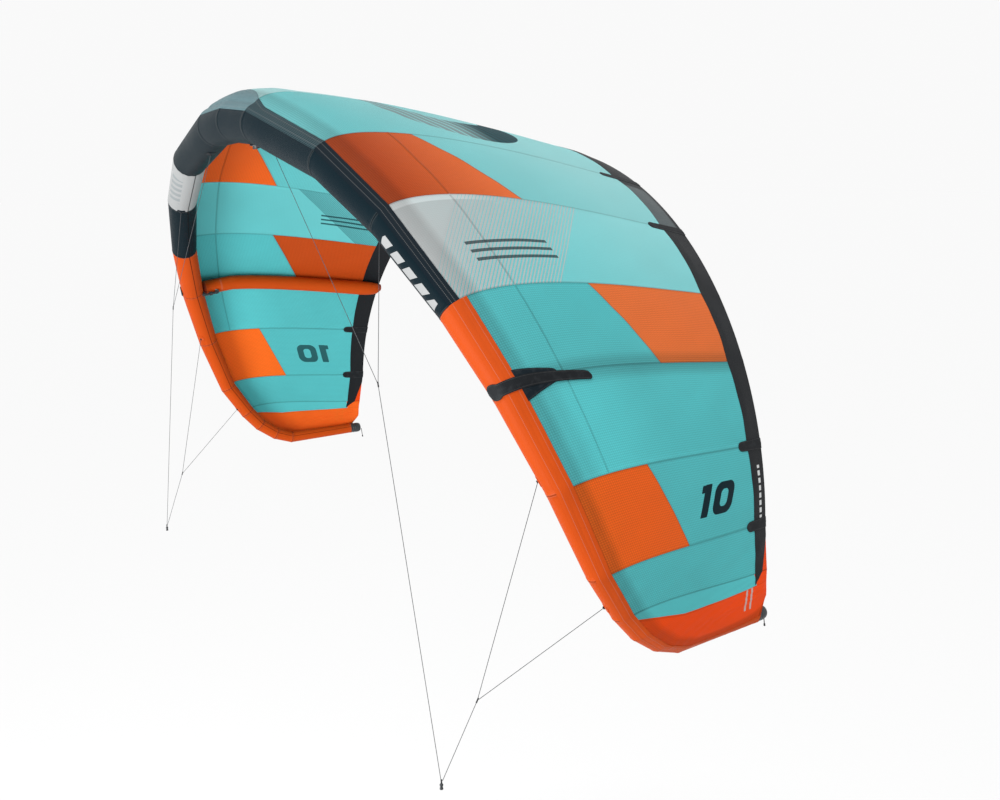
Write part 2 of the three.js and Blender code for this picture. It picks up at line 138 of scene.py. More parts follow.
def along_tip(seam, values):
    """A value between whole seam numbers, read off a list for seams 7 to 13."""
    place = min(seam, TIP_SEAM) - WIDEST_SEAM
    low = min(int(place), len(values) - 2)
    return values[low] + (values[low + 1] - values[low]) * (place - low)


def mirror(seam):
    return np.array([-1 if seam < 0 else 1, 1, 1])


def seam_point(seam):
    number = abs(seam)
    if number > WIDEST_SEAM:
        return np.array(TIP_TUBE[number - WIDEST_SEAM - 1][0]) * mirror(seam)
    return arch_point(SEAM_ANGLES[number]) * mirror(seam)


def axis_point(seam):
    low = min(int(np.floor(seam)), TIP_SEAM - 1)
    return seam_point(low) + (seam_point(low + 1) - seam_point(low)) * (seam - low)


def tube_radius(seam):
    number = abs(seam)
    if number <= WIDEST_SEAM:
        return arch_radius(arch_angle(number))
    radii = [arch_radius(SEAM_ANGLES[-1])] + [radius for _, radius in TIP_TUBE]
    return along_tip(number, np.array(radii))


def trail_point(seam):
    number = abs(seam)
    if number <= WIDEST_SEAM:
        return arch_trail(arch_angle(number, TRAIL_ANGLES)) * mirror(seam)
    points = [arch_trail(TRAIL_ANGLES[-1])] + [np.array(point) for point in TIP_TRAIL]
    return along_tip(number, np.array(points)) * mirror(seam)


def seam_direction(seam):
    """The tube's direction at a whole seam halves the bend there."""
    steps = []
    if seam > -TIP_SEAM:
        steps.append(unit(seam_point(seam) - seam_point(seam - 1)))
    if seam < TIP_SEAM:
        steps.append(unit(seam_point(seam + 1) - seam_point(seam)))
    return unit(sum(steps))


def direction(seam):
    low = min(int(np.floor(seam)), TIP_SEAM - 1)
    here = seam_direction(low)
    return unit(here + (seam_direction(low + 1) - here) * (seam - low))


class Section:
    """A cut across the wing: aft runs to the trailing edge, out away from the arch's inside."""

    def __init__(self, seam):
        self.centre = axis_point(seam)
        self.along = direction(seam)
        aft = trail_point(seam) - self.centre
        self.chord = float(np.linalg.norm(aft))
        self.aft = aft / self.chord
        self.out = unit(np.cross(self.along, self.aft))
        self.square = unit(np.cross(self.out, self.along))
        self.radius = tube_radius(seam)

    def profile(self, places):
        """Points of the canopy's outer face, and its outward directions there."""
        leave = self.out * cos(LEAVE_ANGLE) - self.square * sin(LEAVE_ANGLE)
        rise = self.square * cos(LEAVE_ANGLE) + self.out * sin(LEAVE_ANGLE)
        fall = self.out * sin(ARRIVE_ANGLE) - self.aft * cos(ARRIVE_ANGLE)
        start = self.centre + leave * (self.radius + CLOTH_LIFT)
        end = self.centre + self.aft * self.chord
        first = start + rise * max(self.chord * LEAVE_REACH, self.radius)
        second = end + fall * self.chord * ARRIVE_REACH
        t = np.asarray(places, float)[:, None]
        early, late = 3 * t * (1 - t) ** 2, 3 * t * t * (1 - t)
        points = start * (1 - t) ** 3 + first * early + second * late + end * t**3
        slopes = (first - start) * (1 - t) ** 2 + (second - first) * 2 * t * (1 - t)
        slopes = slopes + (end - second) * t * t
        outward = np.cross(self.along, slopes)
        return points, outward / np.linalg.norm(outward, axis=1)[:, None]

    def rim(self, turns):
        """Points on the tube's skin; a turn is counted from out towards the front."""
        turns = np.asarray(turns)[:, None]
        return self.centre + self.radius * (self.out * np.cos(turns) - self.square * np.sin(turns))

    def at(self, aft, out):
        return self.centre + self.aft * aft + self.out * out


@lru_cache(maxsize=None)
def cut(seam):
    """The section at a seam number, kept once it has been worked out."""
    return Section(seam)


def arc_lengths(points):
    steps = np.linalg.norm(np.diff(points, axis=0), axis=1)
    return np.concatenate([[0], np.cumsum(steps)])


# ---- the camera ---------------------------------------------------------------------------------

CAMERA_AT = Vector((5.474, -1.845, -0.168))
CAMERA_AZIMUTH = radians(59.302)
CAMERA_ELEVATION = radians(11.375)


def make_camera():
    data = bpy.data.cameras.new("camera")
    data.sensor_width = 36
    data.lens = 43.2
    camera = bpy.data.objects.new("camera", data)
    bpy.context.scene.collection.objects.link(camera)
    level = cos(CAMERA_ELEVATION)
    towards = Vector((-sin(CAMERA_AZIMUTH) * level, cos(CAMERA_AZIMUTH) * level, -sin(CAMERA_ELEVATION)))
    camera.location = CAMERA_AT
    camera.rotation_mode = "QUATERNION"
    camera.rotation_quaternion = towards.to_track_quat("-Z", "Y")
    bpy.context.scene.camera = camera


make_camera()

# ---- shader arithmetic --------------------------------------------------------------------------


class Number:
    """A number in a shader's nodes. Arithmetic on it makes Math nodes."""

    def __init__(self, tree, socket):
        self.tree = tree
        self.socket = socket

    def made(self, operation, *others, clamp=False):
        node = self.tree.nodes.new("ShaderNodeMath")
        node.operation = operation
        node.use_clamp = clamp
        for entry, value in zip(node.inputs, (self, *others)):
            if isinstance(value, Number):
                self.tree.links.new(value.socket, entry)
            else:
                entry.default_value = value
        return Number(self.tree, node.outputs[0])

    def __add__(self, other):
        return self.made("ADD", other)

    def __sub__(self, other):
        return self.made("SUBTRACT", other)

    def __mul__(self, other):
        return self.made("MULTIPLY", other)

    def __truediv__(self, other):
        return self.made("DIVIDE", other)

    def __abs__(self):
        return self.made("ABSOLUTE")

    def minus_from(self, value):
        return self * -1 + value

    def highest(self, other):
        return self.made("MAXIMUM", other)

    def lowest(self, other):
        return self.made("MINIMUM", other)

    def root(self):
        return self.made("SQRT")

    def to_line(self, pitch):
        """How far this number is from the nearest multiple of pitch."""
        return self.made("PINGPONG", pitch / 2)

    def below(self, edge, blur=0.0004):
        """1 where this number is under edge and 0 where it is over, with an edge this soft."""
        return (self.minus_from(0) + edge).made("DIVIDE", blur).made("ADD", 0.5, clamp=True)

    def above(self, edge, blur=0.0004):
        return self.below(edge, blur).minus_from(1)


def rounded_box(x, y, half_width, half_height, corner):
    """Distance from a rounded rectangle: below 0 inside it."""
    past_x = (abs(x) - (half_width - corner)).highest(0)
    past_y = (abs(y) - (half_height - corner)).highest(0)
    return (past_x * past_x + past_y * past_y).root() - corner


class Finish:
    """A material made of nodes: a Principled shader and what drives it."""

    def __init__(self, name, roughness=0.6, sheen=0.0, specular=0.5, coat=0.0):
        self.material = bpy.data.materials.new(name)
        self.material.use_nodes = True
        self.tree = self.material.node_tree
        self.shader = self.tree.nodes["Principled BSDF"]
        self.shader.inputs["Roughness"].default_value = roughness
        self.shader.inputs["Sheen Weight"].default_value = sheen
        self.shader.inputs["Sheen Roughness"].default_value = 0.4
        self.shader.inputs["Specular IOR Level"].default_value = specular
        self.shader.inputs["Coat Weight"].default_value = coat
        self.roughness = roughness
        self.height = None

    def split(self, socket):
        node = self.tree.nodes.new("ShaderNodeSeparateXYZ")
        self.tree.links.new(socket, node.inputs[0])
        return [Number(self.tree, output) for output in node.outputs]

    def attribute(self, name):
        node = self.tree.nodes.new("ShaderNodeAttribute")
        node.attribute_name = name
        return self.split(node.outputs["Vector"])

    def place(self):
        node = self.tree.nodes.new("ShaderNodeTexCoord")
        return node.outputs["Object"]

    def noise(self, scale, detail=3.0, where=None):
        node = self.tree.nodes.new("ShaderNodeTexNoise")
        node.inputs["Scale"].default_value = scale
        node.inputs["Detail"].default_value = detail
        self.tree.links.new(where or self.place(), node.inputs["Vector"])
        return Number(self.tree, node.outputs["Fac"])

    def joined(self, x, y, z=0.0):
        node = self.tree.nodes.new("ShaderNodeCombineXYZ")
        for entry, value in zip(node.inputs, (x, y, z)):
            if isinstance(value, Number):
                self.tree.links.new(value.socket, entry)
            else:
                entry.default_value = value
        return node.outputs[0]

    def mix(self, amount, first, second, blend="MIX"):
        node = self.tree.nodes.new("ShaderNodeMix")
        node.data_type = "RGBA"
        node.blend_type = blend
        for entry, value in zip((node.inputs[0], node.inputs[6], node.inputs[7]), (amount, first, second)):
            if isinstance(value, Number):
                self.tree.links.new(value.socket, entry)
            elif isinstance(value, bpy.types.NodeSocket):
                self.tree.links.new(value, entry)
            elif isinstance(value, tuple):
                entry.default_value = (*value, 1)
            else:
                entry.default_value = value
        return node.outputs[2]

    def shaded(self, colour, factor):
        """The colour times a number that may change over the surface."""
        return self.mix(1.0, colour, self.joined(factor, factor, factor), "MULTIPLY")

    def finished(self, colour, height=None, depth=0.001, strength=1.0, rough_change=None, through=0.0):
        """Wires the colour, the relief and the roughness, and lets some light through."""
        entry = self.shader.inputs["Base Color"]
        if isinstance(colour, tuple):
            entry.default_value = (*colour, 1)
        else:
            self.tree.links.new(colour, entry)
        if rough_change is not None:
            rough = (rough_change + self.roughness).made("MAXIMUM", 0.05)
            self.tree.links.new(rough.socket, self.shader.inputs["Roughness"])
        if height is not None:
            bump = self.tree.nodes.new("ShaderNodeBump")
            bump.inputs["Strength"].default_value = strength
            bump.inputs["Distance"].default_value = depth
            self.tree.links.new(height.socket, bump.inputs["Height"])
            self.tree.links.new(bump.outputs["Normal"], self.shader.inputs["Normal"])
        if through:
            self.let_light_through(colour, through)
        return self.material

    def let_light_through(self, colour, share):
        glow = self.tree.nodes.new("ShaderNodeBsdfTranslucent")
        if isinstance(colour, tuple):
            glow.inputs["Color"].default_value = (*colour, 1)
        else:
            self.tree.links.new(colour, glow.inputs["Color"])
        both = self.tree.nodes.new("ShaderNodeMixShader")
        both.inputs[0].default_value = share
        self.tree.links.new(self.shader.outputs[0], both.inputs[1])
        self.tree.links.new(glow.outputs[0], both.inputs[2])
        output = self.tree.nodes["Material Output"]
        self.tree.links.new(both.outputs[0], output.inputs["Surface"])


# ---- colours ------------------------------------------------------------------------------------

TEAL = (0.120, 0.580, 0.600)
# painted highlight: the next two paler teals stand in for sheen and light through the cloth at the crest
CREST_SHEEN_TEAL = (0.430, 0.740, 0.740)
CENTRE_SHEEN_TEAL = (0.500, 0.760, 0.760)
ORANGE = (0.860, 0.160, 0.016)
# painted light: the next four oranges are lit and shaded copies of the orange cloth
LIT_ORANGE = (0.870, 0.215, 0.050)
SHADED_INNER_ORANGE = (0.560, 0.088, 0.010)
LIT_INNER_ORANGE = (0.960, 0.200, 0.018)
SHADED_ORANGE = (0.470, 0.068, 0.010)
DEEP_ORANGE = (0.880, 0.090, 0.006)
SLEEVE_ORANGE = (0.440, 0.055, 0.004)
NAVY = (0.0010, 0.0060, 0.0105)
LIT_NAVY = (0.0012, 0.0080, 0.0125)
GREY_BLUE = (0.100, 0.185, 0.205)
PALE = (0.560, 0.575, 0.575)
BAND_GREY = (0.300, 0.308, 0.310)
DEEP_TEAL = (0.010, 0.085, 0.105)
BLACK_CLOTH = (0.0060, 0.0075, 0.0095)
THREAD = (0.42, 0.41, 0.39)
PRINT = (0.002, 0.022, 0.032)

# ---- materials ----------------------------------------------------------------------------------

RIPSTOP_PITCH = 0.009
RIPSTOP_THREAD = 0.0018
SEAM_HALF = 0.005  # half the width of a lapped seam in the canopy
DIFFUSER_PLACE = 0.235  # a seam runs along the span here, between seams 2 and 6
CLOTH_THROUGH = 0.38


def ripstop(span, chord):
    """1 on the thicker threads of the grid."""
    return span.to_line(RIPSTOP_PITCH).lowest(chord.to_line(RIPSTOP_PITCH)).below(RIPSTOP_THREAD / 2, 0.0006)


def canopy_material(name, paint=None, strut_shade_at=None, diffuser=True, gridded=True):
    """Ripstop cloth: teal, or as paint says, with seams, painted shade behind the tube and along a strut, a
    painted lighter band behind the tube on plain cloth, and a fine thread grid.
    """
    finish = Finish(name, roughness=0.55, sheen=0.02, specular=0.12)
    seam, place, inner = finish.attribute("wing")
    span, chord, edge = finish.attribute("cloth")
    colour = TEAL
    if paint is not None:
        colour = paint(finish, seam, place, inner, span, chord)
    grid = ripstop(span, chord) * (1.0 if gridded else 0.25)
    lapped = edge.below(SEAM_HALF, 0.001)
    if diffuser:
        lapped = lapped.highest(abs(place - DIFFUSER_PLACE).below(0.0034, 0.0008))
    # painted shade: the cloth is darker just behind the tube
    tube_shade = chord.below(0.082, 0.035)
    weather = finish.noise(2.2, 4.0) - 0.5
    tone = lapped * -0.22 + tube_shade * -0.24 + grid * -0.24 + weather * 0.14 + 1.0
    # painted highlight: plain teal cloth is lighter in a band behind the tube's painted shade
    if paint is None:
        tone = tone + chord.above(0.15, 0.05) * chord.below(0.42, 0.30) * 0.14
    # painted shade: a soft darker band along the strut, where it shades the cloth
    if strut_shade_at is not None:
        beside = abs(seam - strut_shade_at)
        tone = tone - beside.below(0.11, 0.09) * place.below(0.97, 0.01) * 0.19
    colour = finish.shaded(colour, tone)
    creases = finish.noise(9.0, 2.0)
    height = grid * 0.12 + lapped * 0.25 + creases * 1.2
    return finish.finished(colour, height, 0.0025, 0.5, weather * 0.2, CLOTH_THROUGH)


def slanted_edge(seam, place, first_seam, start, slope):
    """How far a point lies past a slanted edge, in places."""
    return place - ((seam - first_seam) * slope + start)


def teal_with_crest_sheen(finish, seam, place, inner):
    """Painted highlight: the teal is made paler towards the middle of the top and towards its back edge, most
    of all on the outer face, standing in for sheen and light through the cloth at the crest.
    """
    towards_top = (seam * -0.2 + 1.0).made("MAXIMUM", 0.0)
    towards_back = (place * 1.6 - 0.2).made("MAXIMUM", 0.0).lowest(1.0)
    amount = (towards_top + 0.28) * (towards_back * 0.75 + 0.25)
    return finish.mix(amount.lowest(0.85) * (inner * -0.75 + 1.0), TEAL, CREST_SHEEN_TEAL)


def upper_paint(finish, seam, place, inner, span, chord):
    past = slanted_edge(seam, place, 2, 0.305, 0.153)
    # painted shade and light: the outer face is darker orange near the front edge and lighter towards the
    # back
    outer_painted_shading = finish.mix(place.above(0.28, 0.40), SHADED_ORANGE, LIT_ORANGE)
    orange = finish.mix(inner, outer_painted_shading, ORANGE)
    return two_tone(finish, past, orange, teal_with_crest_sheen(finish, seam, place, inner))


def over_strut_paint(finish, seam, place, inner, span, chord):
    past = slanted_edge(seam, place, 4, 0.485, 0.127)
    # painted light: a lit orange on the outer face and a darker, shaded orange on the inner face
    return two_tone(finish, past, TEAL, finish.mix(inner, LIT_ORANGE, SHADED_INNER_ORANGE))


def two_tone(finish, past, near_colour, far_colour):
    """Two colours that meet in a lapped seam."""
    colour = finish.mix(past.above(0, 0.0006), near_colour, far_colour)
    lap = abs(past).below(0.004, 0.001)
    return finish.shaded(colour, lap * -0.22 + 1)


STRIPES_FROM = 0.29  # solid print up to here, metres along the slanted axis
STRIPES_TO = 0.88
STRIPE_PITCH = 0.0165
PRINTS = {  # how the print slants, how far back it is set, and where its bars' middle lies: span, chord
    "right": (0.90, 0.0, 0.295, 0.350),
    "left": (-0.82, 0.45, 0.270, 1.080),
}
BAR_REACH = 0.185


def shoulder_paint(slant, set_back, bars_span, bars_chord):
    """Solid pale print at the leading edge that breaks up into thin stripes, with three plain bars on it.

    Seen from inside, the pale cloth print doesn't show and its stripes look dark.
    """

    def paint(finish, seam, place, inner, span, chord):
        reach = span * slant + chord - set_back
        share = (reach - STRIPES_FROM) / (STRIPES_TO - STRIPES_FROM)
        half_width = (share * -0.62 + 0.92).highest(0.24) * (STRIPE_PITCH / 2)
        stripe = (reach.to_line(STRIPE_PITCH) - half_width).below(0, 0.0012)
        striped = stripe * reach.below(STRIPES_TO, 0.002)
        outside = inner.below(0.5, 0.01)
        printed = striped.highest(reach.below(STRIPES_FROM, 0.002)) * outside
        shows_through = striped * reach.above(STRIPES_FROM, 0.002) * (outside * -1 + 1) * 0.45
        border = span.below(0.030, 0.002) * reach.below(STRIPES_FROM + 0.12, 0.20)
        pale = finish.mix(border, PALE, (0.72, 0.73, 0.73))
        colour = finish.mix(printed, teal_with_crest_sheen(finish, seam, place, inner), pale)
        colour = finish.mix(shows_through, colour, DEEP_TEAL)
        bars = abs(span - bars_span).to_line(0.040).below(0.0075, 0.0012)
        bars = bars * abs(span - bars_span).below(0.066, 0.001)
        bars = bars * abs(chord - bars_chord).below(BAR_REACH, 0.001)
        return finish.mix(bars * 0.8, colour, PRINT)

    return paint


NUMERAL_SPAN = 0.190  # the numeral's middle, metres down from seam 6
NUMERAL_CHORD = 0.680
NUMERAL_LEANS = {1: 0.84, -1: -0.11}  # sideways for each metre up, right half and left half


def lower_paint(reads_aft):
    """Orange in front, and behind it the size numeral in the kite's own block figures."""

    def paint(finish, seam, place, inner, span, chord):
        past = slanted_edge(seam, place, 6, 0.410, 0.100)
        # painted light: the inner face gets a brighter, lit copy of the orange
        colour = two_tone(finish, past, finish.mix(inner, ORANGE, LIT_INNER_ORANGE), TEAL)
        up = span.minus_from(NUMERAL_SPAN)
        across = (chord - NUMERAL_CHORD) * reads_aft - up * NUMERAL_LEANS[reads_aft]
        zero = rounded_box(across - 0.044, up, 0.064, 0.064, 0.040)
        hole = rounded_box(across - 0.044, up, 0.023, 0.034, 0.018)
        one = rounded_box(across + 0.066, up, 0.021, 0.064, 0.004)
        flag = rounded_box(across + 0.086, up - 0.047, 0.020, 0.015, 0.004)
        figures = zero.highest(hole * -1).lowest(one).lowest(flag)
        ink = figures.below(0, 0.001) * (inner.below(0.5, 0.01) * 0.22 + 0.78)
        return finish.mix(ink, colour, PRINT)

    return paint


PILL_Y = 0.80


def crown_paint(finish, seam, place, inner, span, chord):
    """A striped ring with round ends lies across the middle of the top."""
    x, y, _ = finish.split(finish.place())
    along, beside = abs(x), y - PILL_Y
    ring = rounded_box(along, beside, 0.865, 0.325, 0.324)
    slot = rounded_box(along, beside, 0.600, 0.225, 0.224)
    inside = ring.highest(slot * -1).below(0, 0.002)
    hatch = (y - along * 0.26).to_line(0.050).below(0.0180, 0.004)
    rear = beside.above(0.02, 0.16)
    # painted highlight: the middle panel is paler still at the crest
    ground = finish.mix(seam.below(1, 0.004) * 0.85, teal_with_crest_sheen(finish, seam, place, inner), CENTRE_SHEEN_TEAL)
    light = finish.mix(hatch, ground, (0.26, 0.36, 0.37))
    dark = finish.mix(hatch, (0.001, 0.110, 0.135), (0.001, 0.045, 0.058))
    return finish.mix(inside, ground, finish.mix(rear, light, dark))


def foot_paint(finish, seam, place, inner, span, chord):
    """Teal, with the tip's orange cloth reaching along the very edge outside the black band."""
    return finish.mix(place.above(0.945, 0.001), TEAL, DEEP_ORANGE)


PATCH_START = (8.1, 8.9, 9.24)  # seams where the orange tip patch begins, at places 0, KINK and END
PATCH_KINK = 0.36
PATCH_END = 0.87


def tip_patch_paint(finish, seam, place, inner, span, chord):
    near, kink, far = PATCH_START
    rise = place.lowest(PATCH_KINK) * ((kink - near) / PATCH_KINK)
    later = (place - PATCH_KINK).highest(0) * ((far - kink) / (PATCH_END - PATCH_KINK))
    past = seam - (rise + later + near)
    orange = past.above(0, 0.01).highest(place.above(0.89, 0.001))
    colour = finish.mix(orange, TEAL, finish.mix(inner, DEEP_ORANGE, ORANGE))
    colour = finish.shaded(colour, abs(past - 0.06).below(0.05, 0.02) * -0.15 + 1)
    x, y, z = finish.split(finish.place())
    low = (z + 1.9) * 0.12
    bars = abs(abs(y - low - 1.341) - 0.017).below(0.006, 0.001) * abs(z + 1.902).below(0.043, 0.001)
    return finish.mix(bars * inner.below(0.5, 0.01) * 0.9, colour, PALE)


def sleeve_cloth(name, colour, pale_band=False, bars=False):
    """Heavy woven sleeve cloth: fine weave, stitched ring seams and one lengthwise seam."""
    finish = Finish(name, roughness=0.45, sheen=0.005, specular=0.06)
    seam, turn, _ = finish.attribute("wing")
    around, along, edge = finish.attribute("cloth")
    shown = colour
    if pale_band:
        shown = finish.mix(seam.below(3, 0.004), shown, BAND_GREY)
        mark = abs(seam - 2.5).below(0.30, 0.004) * abs(turn - 130).below(26, 0.4)
        slats = (along + turn * 0.0006).to_line(0.060).below(0.016, 0.001)
        shown = finish.mix(mark * slats * 0.55, shown, (0.16, 0.19, 0.20))
    if bars:
        mark = abs(seam - 3.54).below(0.38, 0.004) * abs(turn - 98).below(17, 0.4)
        slats = (along + turn * 0.0009).to_line(0.082).below(0.027, 0.001)
        shown = finish.mix(mark * slats, shown, BAND_GREY)
    weave = around.to_line(0.0016).lowest(along.to_line(0.0016)) * 1250
    lengthwise = abs(turn - 196).below(1.9, 0.5)
    stitch_row = abs(edge - 0.0045).below(0.0011, 0.0005)
    stitched = stitch_row * (around + edge).to_line(0.005).below(0.0015, 0.0006)
    groove = edge.below(0.0022, 0.0012)
    weather = finish.noise(3.0, 4.0) - 0.5
    folds = finish.noise(26.0, 2.0)
    tone = groove * -0.45 + lengthwise * -0.82 + weave * 0.06 + weather * 0.14 + 0.97
    shown = finish.mix(stitched * 0.11, finish.shaded(shown, tone), THREAD)
    height = weave * 0.25 + stitched * 0.5 + folds * 0.9 - groove * 1.0 - lengthwise * 0.5
    return finish.finished(shown, height, 0.0012, 0.55, weather * 0.25)


def tape_cloth(name, colour, fine_lines=False, dithered=False):
    """The folded strip that closes the canopy's front edge onto the tube, with its rows of stitches."""
    finish = Finish(name, roughness=0.48, sheen=0.008, specular=0.08)
    across, along, edge = finish.attribute("cloth")
    shown = colour
    if dithered:
        shown = finish.mix(finish.noise(420.0, 1.0).above(0.5, 0.06) * 0.5, shown, NAVY)
    if fine_lines:
        shown = finish.mix(across.to_line(0.006).below(0.0012, 0.0008) * 0.4, shown, GREY_BLUE)
    stitches = abs(edge - 0.016).below(0.0012, 0.0006) * along.to_line(0.006).below(0.002, 0.0006)
    weave = across.to_line(0.0016).lowest(along.to_line(0.0016)) * 1250
    weather = finish.noise(4.0, 3.0) - 0.5
    tone = weave * 0.06 + weather * 0.16 + 0.97
    shown = finish.mix(stitches * 0.16, finish.shaded(shown, tone), THREAD)
    return finish.finished(shown, weave * 0.25 + stitches * 0.6, 0.0012, 0.5, weather * 0.2)


def band_cloth(name):
    """Black trailing-edge cloth with a coarse weave, two stitch rows, a row of short pale bars and a painted
    grey sheen.
    """
    finish = Finish(name, roughness=0.6, sheen=0.03, specular=0.15)
    seam, place, inner = finish.attribute("wing")
    span, chord, edge = finish.attribute("cloth")
    weave = span.to_line(0.003).lowest(chord.to_line(0.003)) * 660
    stitched = abs(edge - 0.006).below(0.0012, 0.0005) * span.to_line(0.006).below(0.002, 0.0006)
    bars = abs(seam - 6.62).below(0.36, 0.003) * abs(place - 0.962).below(0.0085, 0.0006)
    bars = bars * span.to_line(0.030).below(0.0100, 0.0008) * inner.below(0.5, 0.01)
    # painted sheen: the band is lighter grey from about seam 2.2 to seam 3, short of its outer edge
    grey_sheen = abs(seam - 2.62).below(0.42, 0.06) * place.below(0.985, 0.01)
    weather = finish.noise(5.0, 4.0) - 0.5
    colour = finish.mix(grey_sheen * 0.75, BLACK_CLOTH, (0.090, 0.110, 0.115))
    colour = finish.shaded(colour, weave * 0.25 + weather * 0.5 + 0.9)
    colour = finish.mix(stitched * 0.35, finish.mix(bars, colour, PALE), THREAD)
    return finish.finished(colour, weave * 0.5 + stitched, 0.0012, 0.5, weather * 0.25)


def webbing(name, colour=BLACK_CLOTH, ribs=0.004):
    """Woven or rubbery trim: ribs, a stitched border and scuffs."""
    finish = Finish(name, roughness=0.66, sheen=0.02, specular=0.15)
    across, along, edge = finish.attribute("cloth")
    rib = along.to_line(ribs) * (2 / ribs)
    stitched = abs(edge - 0.0045).below(0.0009, 0.0004) * along.to_line(0.005).below(0.0016, 0.0005)
    scuffs = finish.noise(38.0, 6.0).above(0.56, 0.12)
    colour = finish.mix(scuffs * 0.16, finish.shaded(colour, rib * 0.3 + 0.85), (0.040, 0.046, 0.050))
    colour = finish.mix(stitched * 0.08, colour, THREAD)
    return finish.finished(colour, rib * 0.4 + stitched + scuffs * 0.4, 0.001, 0.5)


def moulded_plastic(name, colour=(0.018, 0.021, 0.024)):
    """Matt moulded plastic with a fine grain and rubbed patches."""
    finish = Finish(name, roughness=0.42, specular=0.45)
    grain = finish.noise(900.0, 2.0)
    rubbed = finish.noise(24.0, 5.0).above(0.58, 0.10)
    colour = finish.mix(rubbed * 0.3, colour, (0.07, 0.075, 0.08))
    return finish.finished(colour, grain * 0.4 + rubbed * 0.2, 0.0004, 0.4, rubbed * 0.15)


def bladder_film():
    finish = Finish("bladder_film", roughness=0.22, specular=0.6, coat=0.3)
    wrinkles = finish.noise(30.0, 4.0)
    colour = finish.mix(wrinkles, (0.62, 0.66, 0.67), (0.74, 0.77, 0.78))
    return finish.finished(colour, wrinkles, 0.003, 0.6, wrinkles * 0.1)


def braided_line(name, colour, pitch=0.0045):
    """Braid: slanted strands that repeat along the line."""
    finish = Finish(name, roughness=0.65, sheen=0.2, specular=0.35)
    x, y, z = finish.split(finish.place())
    strand = (z + (x + y) * 0.5).to_line(pitch) * (2 / pitch)
    colour = finish.shaded(colour, strand * 0.5 + 0.7)
    return finish.finished(colour, strand, 0.0004, 0.6)


# ---- mesh building ------------------------------------------------------------------------------


def new_object(name, data, material):
    piece = bpy.data.objects.new(name, data)
    bpy.context.scene.collection.objects.link(piece)
    data.materials.append(material)
    return piece


def placed(piece, body, node=None):
    """Says which body a piece rides on and which CAD node it replaces."""
    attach(piece, body)
    if node:
        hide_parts(node)
    return piece


def corner_attribute(mesh, name, values):
    attribute = mesh.attributes.new(name, "FLOAT_VECTOR", "CORNER")
    attribute.data.foreach_set("vector", np.asarray(values, np.float32).ravel())


def quads(grid):
    """The corners of every square in a grid of rows and columns, one row of four per square."""
    return np.stack([grid[:-1, :-1], grid[:-1, 1:], grid[1:, 1:], grid[1:, :-1]], axis=2)


def shell(name, outer, inner, wing, cloth, material, wraps=False, crease=35):
    """A closed skin between two grids of points. With wraps, each row closes on itself, and wing and
    cloth, which the materials read, then have one column more."""
    rows, columns = outer.shape[:2]
    ids = np.arange(rows * columns).reshape(rows, columns)
    if wraps:
        ids = np.concatenate([ids, ids[:, :1]], axis=1)
    values = np.concatenate([wing, cloth], axis=2)
    under = values.copy()
    under[:, :, 2] = 1  # marks the inner face
    sheets = [quads(ids), quads(ids + rows * columns)[:, :, ::-1]]
    marks = [quads(values), quads(under)[:, :, ::-1]]
    strips = [(ids[0], values[0], True), (ids[-1], values[-1], False)]
    if not wraps:
        strips += [(ids[:, 0], values[:, 0], False), (ids[:, -1], values[:, -1], True)]
    faces = [sheet.reshape(-1, 4) for sheet in sheets]
    corners = [mark.reshape(-1, 4, 6) for mark in marks]
    for line, value, flip in strips:
        face = np.stack([line[:-1], line[1:], line[1:] + rows * columns, line[:-1] + rows * columns], axis=1)
        corner = np.stack([value[:-1], value[1:], value[1:], value[:-1]], axis=1)
        faces.append(face[:, ::-1] if flip else face)
        corners.append(corner[:, ::-1] if flip else corner)
    faces, corners = np.concatenate(faces), np.concatenate(corners)
    points = np.concatenate([outer.reshape(-1, 3), inner.reshape(-1, 3)])
    if facing_in(points, faces):
        faces, corners = faces[:, ::-1], corners[:, ::-1]
    mesh = bpy.data.meshes.new(name)
    mesh.from_pydata(points.tolist(), [], faces.tolist())
    corner_attribute(mesh, "wing", corners[:, :, :3])
    corner_attribute(mesh, "cloth", corners[:, :, 3:])
    mesh.shade_smooth()
    mesh.set_sharp_from_angle(angle=radians(crease))
    return new_object(name, mesh, material)


def mirrored_shell(name, grids, sign, material, **form):
    """A shell worked out for the right half, flipped over where sign is -1."""
    outer, inner, wing, cloth = (np.array(grid) for grid in grids)
    flip = np.array([sign, 1, 1])
    return shell(name, outer * flip, inner * flip, wing, cloth, material, **form)


def facing_in(points, faces):
    a, b, c, d = (points[faces[:, i]] for i in range(4))
    volume = np.einsum("ij,ij->i", a, np.cross(b, c)).sum() + np.einsum("ij,ij->i", a, np.cross(c, d)).sum()
    return volume < 0


def frame_about(run):
    """Two square directions across a third."""
    along = unit(np.asarray(run, float))
    side = np.cross(along, (0, 0, 1) if abs(along[2]) < 0.9 else (0, 1, 0))
    side = unit(side)
    return side, np.cross(along, side)


